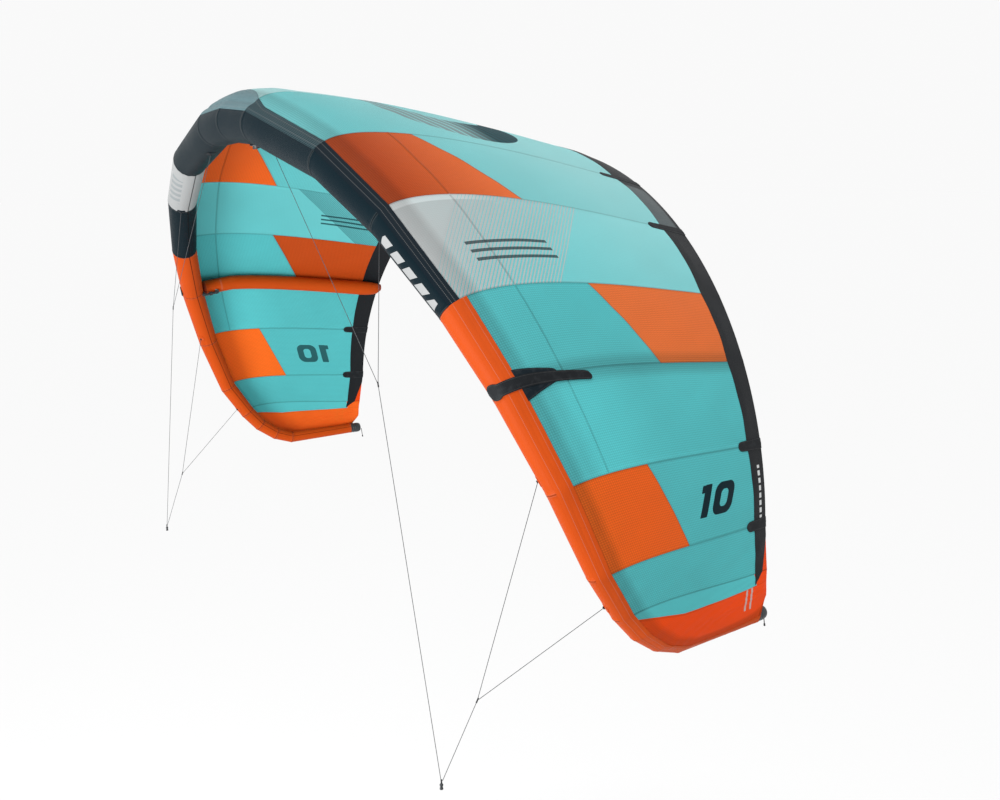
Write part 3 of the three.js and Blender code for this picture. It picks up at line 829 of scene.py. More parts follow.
def turned(name, at, along, outline, material, sides=48):
    """A solid turned about a line, from (radius, height) pairs that start and end on it or close up."""
    side, other = frame_about(along)
    along = unit(np.asarray(along, float))
    closed = outline[0][0] > 0
    stations = outline[:-1] if closed else outline
    turns = np.arange(sides) * 2 * pi / sides
    points, rings = [], []
    for radius, height in stations:
        centre = np.asarray(at) + along * height
        start = len(points)
        if radius == 0:
            points.append(centre)
            rings.append([start] * sides)
            continue
        for turn in turns:
            points.append(centre + radius * (side * cos(turn) + other * sin(turn)))
        rings.append(list(range(start, start + sides)))
    if closed:
        rings.append(rings[0])
    faces = []
    for low, high in zip(rings, rings[1:]):
        for i in range(sides):
            j = (i + 1) % sides
            face = list(dict.fromkeys([low[i], low[j], high[j], high[i]]))
            faces.append(face)
    mesh = bpy.data.meshes.new(name)
    mesh.from_pydata([tuple(point) for point in points], [], faces)
    mesh.shade_smooth()
    mesh.set_sharp_from_angle(angle=radians(32))
    return new_object(name, mesh, material)


def rounded_outline(corners, radius, steps=4):
    """The outline with its inner corners rounded off, for a moulded look."""
    corners = [np.array(corner, float) for corner in corners]
    outline = [corners[0]]
    for before, corner, after in zip(corners, corners[1:], corners[2:]):
        reach = min(radius, np.linalg.norm(before - corner) / 2.1, np.linalg.norm(after - corner) / 2.1)
        start = corner + unit(before - corner) * reach
        end = corner + unit(after - corner) * reach
        for u in np.linspace(0, 1, steps + 1):
            outline.append(start * (1 - u) ** 2 + corner * 2 * u * (1 - u) + end * u * u)
    outline.append(corners[-1])
    return [tuple(point) for point in outline]


def curve_piece(name, points, radius, material):
    """An open round line through points."""
    data = bpy.data.curves.new(name, "CURVE")
    data.dimensions = "3D"
    data.bevel_depth = radius
    data.bevel_resolution = 3
    data.use_fill_caps = True
    line = data.splines.new("POLY")
    line.points.add(len(points) - 1)
    for target, point in zip(line.points, points):
        target.co = (*point, 1)
    return new_object(name, data, material)


def smooth_route(points, count):
    """A centripetal curve through the points of a route."""
    points = np.array(points, float)
    reach = np.concatenate([[0], np.cumsum(np.sqrt(np.linalg.norm(np.diff(points, axis=0), axis=1)))])
    slopes = np.gradient(points, reach, axis=0)
    route = []
    for place in np.linspace(0, reach[-1], count):
        i = min(int(np.searchsorted(reach, place, side="right")) - 1, len(points) - 2)
        gap = reach[i + 1] - reach[i]
        u = (place - reach[i]) / gap
        route.append(
            points[i] * (1 + 2 * u) * (1 - u) ** 2
            + points[i + 1] * u * u * (3 - 2 * u)
            + (slopes[i] * u * (1 - u) ** 2 - slopes[i + 1] * u * u * (1 - u)) * gap
        )
    return route


# ---- bridle lines -------------------------------------------------------------------------------

LINE_BRAID = braided_line("line_braid", (0.050, 0.052, 0.056))
CORD_BRAID = braided_line("cord_braid", (0.014, 0.015, 0.017))
PLASTIC = moulded_plastic("moulded_plastic")


def anchor_point(seam, knot):
    """Where a line ties to the tube, on the side that faces the knot."""
    centre, along = axis_point(seam), direction(seam)
    towards = knot - centre
    towards = unit(towards - along * float(towards @ along))
    return centre + towards * (tube_radius(seam) + 0.002), towards


def taut(start, end, short_start, short_end):
    run = unit(end - start)
    first, last = start + run * short_start, end - run * short_end
    return [first + (last - first) * u for u in np.linspace(0, 1, LINE_POINTS)]


def declare_line(name, node, points, body):
    piece = curve_piece(name, points, LINE_RADIUS, LINE_BRAID)
    placed(piece, body, node)
    length = float(np.linalg.norm(points[-1] - points[0]))


def line_sleeve(name, at, along, length, radius):
    """The stitched sleeve over a knot: a soft round-ended roll with a waist."""
    start = np.asarray(at) - unit(np.asarray(along)) * length / 2
    shape = [(0, 0), (radius * 0.7, 0), (radius, length * 0.12), (radius * 0.86, length * 0.5)]
    shape += [(radius, length * 0.88), (radius * 0.7, length), (0, length)]
    piece = turned(name, start, along, rounded_outline(shape, radius * 0.3, 3), CORD_BRAID, 24)
    return piece


def line_end(side, sign):
    """The sleeve at the bridle's foot, with a ridge that keeps the looped flying line on."""
    top = np.array(LINE_END) * (sign, 1, 1)
    outline = [(0, 0), (0.0035, 0), (0.0070, 0.0035), (0.0070, 0.009), (0.0052, 0.0115)]
    outline += [(0.0052, 0.0165), (0.0070, 0.019), (0.0070, 0.024), (0, 0.024)]
    piece = turned(f"line_end_{side}", top, (0, 0, -1), rounded_outline(outline, 0.0012, 3), PLASTIC, 40)
    placed(piece, f"bridle_leads_{side}", f"line_end_sleeve_{side}")
    return piece


def bridle(side, sign):
    flip = np.array([sign, 1, 1])
    front, rear, end = (np.array(point) * flip for point in (FRONT_KNOT, REAR_KNOT, LINE_END))
    legs = [("front", FRONT_ANCHOR_SEAMS, FRONT_KNOT), ("rear", REAR_ANCHOR_SEAMS, REAR_KNOT)]
    anchors = []
    for which, seams, knot_at in legs:
        for number, seam in enumerate(seams, 1):
            anchor, towards = anchor_point(seam, np.array(knot_at))
            points = taut(anchor, np.array(knot_at), 0, KNOT_ROOM)
            points = [point * flip for point in points]
            name = f"{which}_leg_{number}_{side}"
            declare_line(name, f"bridle_{name}", points, "wing")
            anchors.append((f"{which}_{number}_{side}", seam, anchor * flip, towards * flip))
    foot = line_end(side, sign)
    for which, knot in (("front", front), ("rear", rear)):
        points = taut(knot, end, KNOT_ROOM, SLEEVE_ROOM)
        body = f"bridle_leads_{side}"
        declare_line(
            f"{which}_lead_{side}", f"bridle_{which}_lead_{side}", points, body
        )
        knot_sleeve = line_sleeve(f"{which}_knot_{side}", knot, end - knot, 0.022, 0.0032)
        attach(knot_sleeve, body)
    tie = line_sleeve(f"foot_knot_{side}", end + (0, 0, 0.006), (0, 0, 1), 0.020, 0.0036)
    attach(tie, f"bridle_leads_{side}")
    return anchors


def rear_pigtail(side, sign):
    """The short cord that a rear flying line loops onto, with a knot in its end."""
    flip = np.array([sign, 1, 1])
    top = (axis_point(TIP_SEAM) + PIGTAIL_FROM_TIP) * flip
    run = np.array(PIGTAIL_RUN)
    points = [top + run * u for u in np.linspace(0, 1, LINE_POINTS)]
    piece = curve_piece(f"pigtail_cord_{side}", points, PIGTAIL_RADIUS, CORD_BRAID)
    body = f"pigtail_{side}"
    placed(piece, body, f"rear_pigtail_{side}")
    knot = line_sleeve(f"pigtail_knot_{side}", top + run * 0.90, run, 0.011, 0.0042)
    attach(knot, body)


ANCHORS = []
for side, sign in SIDES:
    ANCHORS += bridle(side, sign)
    rear_pigtail(side, sign)

# ---- leading edge -------------------------------------------------------------------------------

TUBE_COLUMNS = 72
SLEEVE_WALL = 0.0012
LAP = 0.0075  # half-width of the lapped ring seam, which stands proud
LAP_HEIGHT = 0.0008
CINCH = 0.012  # how far the tube swells between seams, as a share of its radius


def ring_stations(length):
    """Places from seam to seam: close together at the lapped ends, wider between."""
    laps = [0, LAP * 0.9, LAP * 1.1, 0.02, 0.035]
    laps = [place for place in laps if place < length * 0.45]
    middle = np.linspace(laps[-1], length - laps[-1], max(3, int(length / 0.03)))[1:-1]
    return np.concatenate([laps, middle, [length - place for place in reversed(laps)]]) / length


def puckers(turns, near, far, bend):
    """Small gathers beside each seam, deepest on the inside of the bend."""
    gather = np.cos(turns * 17 + 0.7 * np.sin(turns * 5)) * 0.0007
    inside = np.clip(np.cos(turns - pi), 0, 1) ** 2 * bend
    return gather * (0.35 + 5 * inside) * (np.exp(-near / 0.03) + np.exp(-far / 0.03))


def tube_ring(seam, turns, lift=0.0):
    """Points around the sleeve's skin: straight between whole seams, swelling a little between them."""
    turns = np.asarray(turns, float)
    low = min(int(np.floor(seam)), CAP_SEAM - 1)
    here, there = cut(float(low)), cut(float(low + 1))
    length = float(np.linalg.norm(there.centre - here.centre))
    bend = float(np.arccos(np.clip(here.along @ there.along, -1, 1)))
    share = seam - low
    first, last = here.rim(turns), there.rim(turns)
    centre = here.centre + (there.centre - here.centre) * share
    spoke = first + (last - first) * share - centre
    radius = np.linalg.norm(spoke, axis=1)[:, None]
    near, far = share * length, (1 - share) * length
    swell = CINCH * radius * (1 - np.exp(-near / 0.04)) * (1 - np.exp(-far / 0.04))
    lapped = LAP_HEIGHT if min(near, far) < LAP else 0
    folds = puckers(turns, near, far, bend)[:, None]
    return centre + spoke / radius * (radius + swell + lapped + folds + lift)


def sleeve(name, node, first, last, sign, material):
    """A length of the leading edge between two whole seams, its wall hollow and open at both ends."""
    turns = np.arange(TUBE_COLUMNS) * 2 * pi / TUBE_COLUMNS
    marks = np.degrees(np.arange(TUBE_COLUMNS + 1) * 2 * pi / TUBE_COLUMNS)
    outer, inner, wing, cloth = [], [], [], []
    reach = 0.0
    for low in range(first, last):
        length = float(np.linalg.norm(seam_point(low + 1) - seam_point(low)))
        places = ring_stations(length)
        for place in places[1:] if outer else places:
            radius = tube_radius(low + place)
            outer.append(tube_ring(low + place, turns))
            inner.append(tube_ring(low + place, turns, -SLEEVE_WALL))
            edge = min(place, 1 - place) * length
            wing.append([(abs(low + place), mark, 0) for mark in marks])
            cloth.append([(radians(mark) * radius, reach + place * length, edge) for mark in marks])
        reach += length
    piece = mirrored_shell(name, (outer, inner, wing, cloth), sign, material, wraps=True)
    placed(piece, "wing", node)
    return piece


NAVY_SLEEVE = sleeve_cloth("navy_sleeve", LIT_NAVY)
ORANGE_SLEEVE = sleeve_cloth("orange_sleeve", SLEEVE_ORANGE)
BANDED_SLEEVE = sleeve_cloth("navy_sleeve_pale_band", LIT_NAVY, pale_band=True)
BARRED_SLEEVE = sleeve_cloth("navy_sleeve_bars", LIT_NAVY, bars=True)

ORANGE_SLEEVES = (("upper_arm", 4, 5), ("mid_arm", 5, 6), ("lower_arm", 6, 7), ("wing_tip", 7, CAP_SEAM))

sleeve("tube_centre", "le_sleeve_centre", -2, 2, 1, NAVY_SLEEVE)
for side, sign in SIDES:
    shoulder = BARRED_SLEEVE if side == "right" else BANDED_SLEEVE
    sleeve(f"tube_shoulder_{side}", f"le_sleeve_shoulder_{side}", 2, 4, sign, shoulder)
    for part, first, last in ORANGE_SLEEVES:
        sleeve(f"tube_{part}_{side}", f"le_sleeve_{part}_{side}", first, last, sign, ORANGE_SLEEVE)

# ---- canopy -------------------------------------------------------------------------------------

CANOPY_THICKNESS = 0.0009
BAND_INNER = 0.912  # the trailing band laps the canopy from here to the edge
PANEL_LAP = 0.006
SEAM_RAISE = 0.0007
CREST_FULLNESS = 0.026  # extra height behind the tube in the middle of the top
BILLOW = 0.016  # how far a panel swells between its seams, as a share of its width
PROFILE_STEPS = 84


def panel_seams(first, last, width, count):
    """Seam numbers across a panel, with a narrow lap of double cloth at each side."""
    lap = PANEL_LAP / width * (last - first)
    inside = np.linspace(first + lap * 1.25, last - lap * 1.25, count)
    return np.concatenate([[first, first + lap], inside, [last - lap, last]])


def held_between(seam):
    """The lines on each side that hold the cloth down: seams, and the centre strut."""
    number = abs(seam)
    if number >= TIP_PATCH_SEAM:
        return TIP_PATCH_SEAM, CAP_SEAM
    return int(number), int(number) + 1


@lru_cache(maxsize=None)
def across_width(first, last, place=0.4):
    return float(np.linalg.norm(cut(last).profile([place])[0] - cut(first).profile([place])[0]))


def relief(seam, places):
    """How far the cloth stands off its plain shape: billow, lapped seams and small wrinkles."""
    number = abs(seam)
    first, last = held_between(seam)
    width = across_width(first, last)
    share = (number - first) / (last - first)
    aft = np.clip(places / 0.08, 0, 1) * np.clip((1 - places) / 0.06, 0, 1)
    bulge = 4 * share * (1 - share)
    from_seam = min(number - first if first > 0 else 1, last - number) / (last - first) * width
    lapped = SEAM_RAISE if from_seam < PANEL_LAP else 0
    gathers = 0.0011 * np.exp(-places / 0.07) * (1 - np.exp(-places / 0.01))
    gathers = gathers * np.sin(number * 46 + 3 * np.sin(number * 7))
    drawn = 0.0016 * np.sin(number * 9 + places * 7) * np.sin(places * 19 + number * 4)
    sideways = 0.0010 * np.sin(places * 33 + 4 * share) * np.exp(-((share - 0.5) ** 2) / 0.05)
    diffuser = np.where(np.abs(places - DIFFUSER_PLACE) < 0.003, SEAM_RAISE, 0) if 2 <= number <= 6 else 0
    crest = max(0.0, 1 - (number / 2.4) ** 2) ** 1.5 * CREST_FULLNESS
    crest = crest * places / 0.1 * np.exp(1 - places / 0.1) * np.clip((0.34 - places) / 0.2, 0, 1)
    settled = (CLOTH_LIFT - 0.0008) * np.exp(-places / 0.02)  # the front edge lies down onto the tube
    swell = BILLOW * width * bulge * aft
    wrinkles = (drawn + sideways) * aft * bulge
    return crest + swell + lapped + gathers + wrinkles + diffuser - settled


def cloth_face(seam, places, lift=0.0):
    """Points on the cloth's outer face, raised by lift, and the directions away from it."""
    places = np.asarray(places, float)
    kept = np.clip(places, 0, 1)
    section = cut(float(seam))
    points, outward = section.profile(kept)
    edge = section.profile([0.99, 1])[0]
    past_edge = unit(edge[1] - edge[0]) * section.chord * (places - kept)[:, None]
    return points + past_edge + outward * (relief(seam, kept) + lift)[:, None], outward


def chord_reach(seam, places):
    """Metres along the cloth from the leading edge to each place."""
    even = np.linspace(0, 1, 101)
    return np.interp(places, even, arc_lengths(cut(float(seam)).profile(even)[0]))


def cloth_sheet(name, seams, places_at, sign, material, above=0.0, thickness=CANOPY_THICKNESS, crease=35):
    """Cloth that lies along the canopy over some seam numbers. places_at gives its places at each."""
    first, last = seams[0], seams[-1]
    width = across_width(first, last)
    outer, inner, wing, cloth = [], [], [], []
    for seam in seams:
        places = places_at(seam)
        points, outward = cloth_face(seam, places, above)
        share = (seam - first) / (last - first)
        edge = min(share, 1 - share) * width
        outer.append(points)
        inner.append(points - outward * thickness)
        wing.append([(abs(seam), place, 0) for place in places])
        cloth.append([(share * width, reach, edge) for reach in chord_reach(seam, places)])
    piece = mirrored_shell(name, (outer, inner, wing, cloth), sign, material, crease=crease)
    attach(piece, "wing")
    return piece


def flat_size(first, last, start, end):
    """Width, length and area of a panel laid flat, from its curves."""
    lengths, widths = [], []
    for seam in (first, last):
        lengths.append(arc_lengths(cut(seam).profile(np.linspace(start, end, 60))[0])[-1])
    for place in (start, (start + end) / 2, end):
        edge = [cut(float(seam)).profile([place])[0][0] for seam in np.linspace(first, last, 9)]
        widths.append(arc_lengths(np.array(edge))[-1])
    area = np.mean(lengths) * (widths[0] + 4 * widths[1] + widths[2]) / 6
    return (float(max(widths)), float(max(lengths))), float(area)


def declare_sheet(first, last, start, end):
    flat, area = flat_size(first, last, start, end)
    area = min(area, flat[0] * flat[1])


def canopy_places(seam):
    """Places along a seam, closer together at the front edge and at the diffuser seam."""
    front = [0, 0.004, 0.01, 0.018]
    line = [DIFFUSER_PLACE + offset for offset in (-0.0034, -0.0026, 0.0026, 0.0034)]
    even = np.linspace(0.03, BAND_INNER + 0.006, PROFILE_STEPS)
    even = even[np.abs(even - DIFFUSER_PLACE) > 0.006]
    return np.array(sorted([*front, *line, *even]))


def panel(name, node, first, last, count, sign, material, slot, places_at=canopy_places):
    seams = panel_seams(first, last, across_width(first, last), count)
    piece = cloth_sheet(name, seams, places_at, sign, material)
    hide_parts(node)
    places = places_at(first)
    side = "right" if sign > 0 else "left"
    tube = "tube_centre" if last <= 2 else f"tube_shoulder_{side}" if last <= 4 else f"tube_upper_arm_{side}"
    declare_sheet(first, last, places[0], places[-1])
    return piece


def whole_chord(seam):
    return np.concatenate([[0, 0.004, 0.01, 0.018], np.linspace(0.03, 1, 80)])


FOOT_CLOTH = canopy_material("canopy_foot_cloth", foot_paint, diffuser=False)
CENTRE_CLOTH = canopy_material("canopy_centre_cloth", crown_paint, strut_shade_at=0, diffuser=False)
CROWN_CLOTH = canopy_material("canopy_crown_cloth", crown_paint, diffuser=False)
UPPER_CLOTH = canopy_material("canopy_upper_cloth", upper_paint)
SHOULDER_CLOTH = {
    side: canopy_material(f"canopy_shoulder_cloth_{side}", shoulder_paint(*print_at), gridded=False)
    for side, print_at in PRINTS.items()
}
OVER_STRUT_CLOTH = canopy_material("canopy_over_strut_cloth", over_strut_paint, strut_shade_at=STRUT_SEAM)
UNDER_STRUT_CLOTH = canopy_material("canopy_under_strut_cloth", strut_shade_at=STRUT_SEAM)
LOWER_CLOTH = {
    "right": canopy_material("canopy_lower_cloth_right", lower_paint(1), diffuser=False),
    "left": canopy_material("canopy_lower_cloth_left", lower_paint(-1), diffuser=False),
}
TIP_CLOTH = canopy_material("canopy_tip_cloth", tip_patch_paint, diffuser=False, gridded=False)

panel("cloth_centre", "canopy_centre", -1, 1, 34, 1, CENTRE_CLOTH, "teal_ripstop")
for side, sign in SIDES:
    panels = [
        ("crown", 1, 2, 34, CROWN_CLOTH, "teal_ripstop"),
        ("upper", 2, 3, 26, UPPER_CLOTH, "teal_ripstop"),
        ("shoulder", 3, 4, 26, SHOULDER_CLOTH[side], "pale_ripstop"),
        ("over_strut", 4, 5, 22, OVER_STRUT_CLOTH, "teal_ripstop"),
        ("under_strut", 5, 6, 22, UNDER_STRUT_CLOTH, "teal_ripstop"),
        ("lower", 6, 7, 22, LOWER_CLOTH[side], "orange_ripstop"),
        ("foot", 7, TIP_PATCH_SEAM, 14, FOOT_CLOTH, "teal_ripstop"),
    ]
    for part, first, last, count, material, slot in panels:
        reach = whole_chord if part == "foot" else canopy_places
        names = (f"cloth_{part}_{side}", f"canopy_{part}_{side}")
        panel(*names, first, last, count, sign, material, slot, reach)
    panel(f"cloth_tip_{side}", f"canopy_tip_patch_{side}", TIP_PATCH_SEAM, CAP_SEAM, 40, sign, TIP_CLOTH,
          "orange_ripstop", whole_chord)

# ---- trailing band and batten tabs --------------------------------------------------------------

BAND_TAPERS_FROM = 7
BAND_LEAVES_EDGE = 7.3
BAND_POINT = 9.16
BAND_POINT_PLACE = 0.878
BAND_ABOVE = 0.0009
BAND_THICKNESS = 0.0028
TAB_SEAMS = (2, 3, 6, 7)
TAB_START = 0.86
TAB_HALF_WIDTHS = (0.021, 0.028)
TAB_ABOVE = 0.0022
TAB_THICKNESS = 0.0058


def band_places(seam):
    """The band runs to the edge, then narrows to a point over the tip's cloth."""
    narrow = np.clip((seam - BAND_TAPERS_FROM) / (BAND_POINT - BAND_TAPERS_FROM), 0, 1)
    inner = BAND_INNER + (BAND_POINT_PLACE - BAND_INNER) * narrow
    leaving = np.clip((seam - BAND_LEAVES_EDGE) / (BAND_POINT - BAND_LEAVES_EDGE), 0, 1)
    outer = 1.002 + (BAND_POINT_PLACE + 0.002 - 1.002) * leaving
    return np.linspace(inner, outer, 12)


def trailing_band(side, sign):
    seams = [np.linspace(low, low + 1, 20)[:-1] for low in range(TIP_PATCH_SEAM)]
    seams = np.concatenate([*seams, np.linspace(TIP_PATCH_SEAM, BAND_POINT, 24)])
    piece = cloth_sheet(f"band_{side}", seams, band_places, sign, BAND_CLOTH, BAND_ABOVE, BAND_THICKNESS)
    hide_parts(f"trailing_band_{side}")
    widths = [across_width(low, low + 1, 0.95) for low in range(TIP_PATCH_SEAM)]
    long = sum(widths) + across_width(TIP_PATCH_SEAM, BAND_POINT, 0.9)
    stations = np.linspace(0, BAND_POINT, 40)
    lengths = [np.ptp(chord_reach(seam, band_places(seam)[[0, -1]])) for seam in stations]


def seams_per_metre(seam, place):
    """Seam numbers per metre across the cloth, on each side of a seam."""
    return [1 / across_width(low, low + 1, place) for low in (seam - 1, seam)]


def flat_patch(name, seam, rows, path, half_width_at, sign, material, above, thickness):
    """A flat piece laid over the tube and the canopy. path gives, for a seam number, its points and
    directions away from the wing; half_width_at gives its half width, in metres, along the path."""
    along = np.linspace(0, 1, rows)
    shares = np.linspace(-1, 1, 15)
    inward, outward = seams_per_metre(int(seam), 0.3)
    outer, inner, wing, cloth = [], [], [], []
    for share in shares:
        line_outer, line_inner, marks, flats = [], [], [], []
        for u in along:
            half = half_width_at(u)
            offset = share * half
            number = seam + offset * (outward if offset > 0 else inward)
            point, away, reach = path(number, u)
            line_outer.append(point + away * above)
            line_inner.append(point + away * (above - thickness))
            marks.append((number, u, 0))
            flats.append((offset, reach, half * (1 - abs(share))))
        outer.append(line_outer)
        inner.append(line_inner)
        wing.append(marks)
        cloth.append(flats)
    piece = mirrored_shell(name, (outer, inner, wing, cloth), sign, material, crease=50)
    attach(piece, "wing")
    return piece


def rounded_end(reach, radius):
    """Share of the full width, near a round end."""
    return max(0.05, (1 - (1 - min(reach / radius, 1)) ** 2) ** 0.5)


def batten_tab(side, sign, seam):
    long = chord_reach(seam, [TAB_START, 1.0])
    length = float(long[1] - long[0])

    def path(number, u):
        place = TAB_START + (1.004 - TAB_START) * u
        points, away = cloth_face(number, [place - 0.001, place])
        return points[1], away[1], u * length

    def half_width(u):
        start, end = TAB_HALF_WIDTHS
        half = start + (end - start) * u
        ends = rounded_end(u * length, half) * max(0.8, rounded_end((1 - u) * length, half * 0.3))
        return half * ends

    name = f"batten_tab_{int(seam)}_{side}"
    piece = flat_patch(name, seam, 40, path, half_width, sign, TAB_CLOTH, TAB_ABOVE, TAB_THICKNESS)


BAND_CLOTH = band_cloth("trailing_band_cloth")
TAB_CLOTH = webbing("batten_tab_cloth")
for side, sign in SIDES:
    trailing_band(side, sign)
    for seam in TAB_SEAMS:
        batten_tab(side, sign, seam)

# ---- the closing strip along the tube, straps and patches ---------------------------------------

TAPE_FROM = radians(58)  # turn on the tube where the strip starts
ORANGE_TAPE_REACH = 0.034  # metres it runs over the canopy
NAVY_TAPE_REACH = 0.006
TAPE_ABOVE = 0.0011
TAPE_THICKNESS = 0.0012


def over_tube(number, turn):
    """A point on the tube's skin and the direction away from it."""
    ring = tube_ring(number, [turn])
    section = cut(float(number))
    return ring[0], section.out * cos(turn) - section.square * sin(turn)


def front_path(number, from_turn, reach):
    """Follows the tube from a turn back to the canopy's front edge, then the canopy. Metres from there."""
    radius = tube_radius(number)
    on_tube = (from_turn - LEAVE_ANGLE) * radius
    if reach < on_tube:
        point, away = over_tube(number, from_turn - reach / radius)
        rest = (on_tube - reach) / 0.012
        lift = 0.0008 * max(0.0, 1 - rest)
        return point + away * lift, away
    even = np.linspace(0, 1, 201)
    place = float(np.interp(reach - on_tube, chord_reach(number, even), even))
    points, away = cloth_face(number, [max(place - 0.0005, 0), place + 0.0001])
    return points[1], away[1]


def centre_reach(number):
    """The middle strip runs further over the canopy than its neighbours."""
    return NAVY_TAPE_REACH + 0.085 * max(0.0, 1 - (number / 1.15) ** 2)


def arm_reach(number):
    return ORANGE_TAPE_REACH


def front_tape(part, side, sign, first, last, reach_at, material):
    outer, inner, wing, cloth = [], [], [], []
    steps = 18 * (last - first) + 1
    for number in np.linspace(first, last, steps):
        total = (TAPE_FROM - LEAVE_ANGLE) * tube_radius(number) + reach_at(number)
        tops, unders, marks, flats = [], [], [], []
        for u in np.linspace(0, 1, 22):
            point, away = front_path(number, TAPE_FROM, u * total)
            tops.append(point + away * TAPE_ABOVE)
            unders.append(point + away * (TAPE_ABOVE - TAPE_THICKNESS))
            marks.append((abs(number), u, 0))
            flats.append((u * total, (number - first) * 0.38, min(u, 1 - u) * total))
        outer.append(tops)
        inner.append(unders)
        wing.append(marks)
        cloth.append(flats)
    name = f"front_strip_{part}_{side}" if side else f"front_strip_{part}"
    piece = mirrored_shell(name, (outer, inner, wing, cloth), sign, material, crease=50)
    placed(piece, "wing")


CENTRE_TAPE = tape_cloth("front_strip_centre_cloth", GREY_BLUE, dithered=True)
INNER_TAPE = tape_cloth("front_strip_inner_cloth", LIT_NAVY, fine_lines=True)
DARK_TAPE = tape_cloth("front_strip_dark_cloth", NAVY)
ORANGE_TAPE = tape_cloth("front_strip_orange_cloth", SLEEVE_ORANGE)

front_tape("centre", "", 1, -1, 1, centre_reach, CENTRE_TAPE)
for side, sign in SIDES:
    front_tape("inner", side, sign, 1, 2, centre_reach, INNER_TAPE)
    front_tape("shoulder", side, sign, 2, 4, centre_reach, DARK_TAPE)
    front_tape("arm", side, sign, 4, CAP_SEAM, arm_reach, ORANGE_TAPE)

STRAP_HEAD_TURN = radians(112)  # the front of the strap's round head, on the tube
STRAP_HEAD = 0.033
STRAP_ARM = 0.025
STRAP_TIP = 0.0165
STRAP_END_PLACE = 0.327
STRAP_SHIFT = (-0.07, 0.07)  # seam numbers that its head and its end lie outward of the seam
PATCH_END_PLACE = 0.215
STRAP_LAYER = (0.0050, 0.0036)  # height of its top over the cloth, and thickness
PATCH_LAYER = (0.0022, 0.0018)


def outside_strap(side, sign):
    """The reinforcement over the side strut's seam: a round head on the tube and a long narrowing arm."""
    on_tube = (STRAP_HEAD_TURN - LEAVE_ANGLE) * tube_radius(STRUT_SEAM)
    length = on_tube + float(chord_reach(STRUT_SEAM, STRAP_END_PLACE))

    def path(number, u):
        shift = STRAP_SHIFT[0] + (STRAP_SHIFT[1] - STRAP_SHIFT[0]) * u
        point, away = front_path(number + shift, STRAP_HEAD_TURN, u * length)
        return point, away, u * length

    def half_width(u):
        reach = u * length
        arm = STRAP_ARM + (STRAP_TIP - STRAP_ARM) * np.clip((reach - on_tube) / (length - on_tube), 0, 1)
        head = max(0.0, STRAP_HEAD**2 - (reach - STRAP_HEAD) ** 2) ** 0.5
        if reach > STRAP_HEAD:
            head = max(head, arm)
        return max(0.002, head) * rounded_end(length - reach, STRAP_TIP)

    name = f"strut_strap_{side}"
    strap = flat_patch(name, STRUT_SEAM, 90, path, half_width, sign, STRAP_CLOTH, *STRAP_LAYER)


def strap_patch(side, sign):
    """Dark doubled cloth under the strap, widest at the tube."""
    length = float(chord_reach(STRUT_SEAM, PATCH_END_PLACE))
    before = (TAPE_FROM - LEAVE_ANGLE) * tube_radius(STRUT_SEAM)

    def path(number, u):
        point, away = front_path(number, TAPE_FROM, before + 0.030 + u * (length - 0.030))
        return point, away, u * length

    def half_width(u):
        return (0.062 - 0.042 * u) * rounded_end((1 - u) * length, 0.02)

    name = f"strap_patch_{side}"
    patch = flat_patch(name, STRUT_SEAM, 60, path, half_width, sign, PATCH_CLOTH, *PATCH_LAYER)


STRAP_CLOTH = webbing("strap_rubber", ribs=0.007)
PATCH_CLOTH = webbing("strap_patch_cloth", NAVY, ribs=0.0024)
for side, sign in SIDES:
    outside_strap(side, sign)
    strap_patch(side, sign)

# ---- struts -------------------------------------------------------------------------------------

STRUT_SKIN = 0.0436
STRUT_DEEP = 0.0449  # from the canopy's outer face to the middle of the strut's cloth skin
STRUT_COLUMNS = 48
STRUT_WALL = 0.0011
STRUT_TAIL = 0.54  # the tail plug's radius as a share of the strut's


def strut_line(section):
    """Middle points of a strut, from behind the tube to just past the trailing edge."""
    front = section.at(section.radius + STRUT_STAND_OFF, section.radius * STRUT_FRONT_OUT)
    points, outward = section.profile(np.linspace(STRUT_LAID_FROM, 1, 60))
    rear = points - outward * STRUT_DEEP
    tangent = unit(rear[1] - rear[0])
    reach = np.linalg.norm(rear[0] - front)
    straight = unit(rear[0] - front)
    early, late = front + straight * reach * 0.35, rear[0] - tangent * reach * 0.10
    line = []
    for u in np.linspace(0, 1, 24)[:-1]:
        ends = front * (1 - u) ** 3 + early * 3 * u * (1 - u) ** 2
        line.append(ends + late * 3 * u * u * (1 - u) + rear[0] * u**3)
    return np.array([*line, *rear])


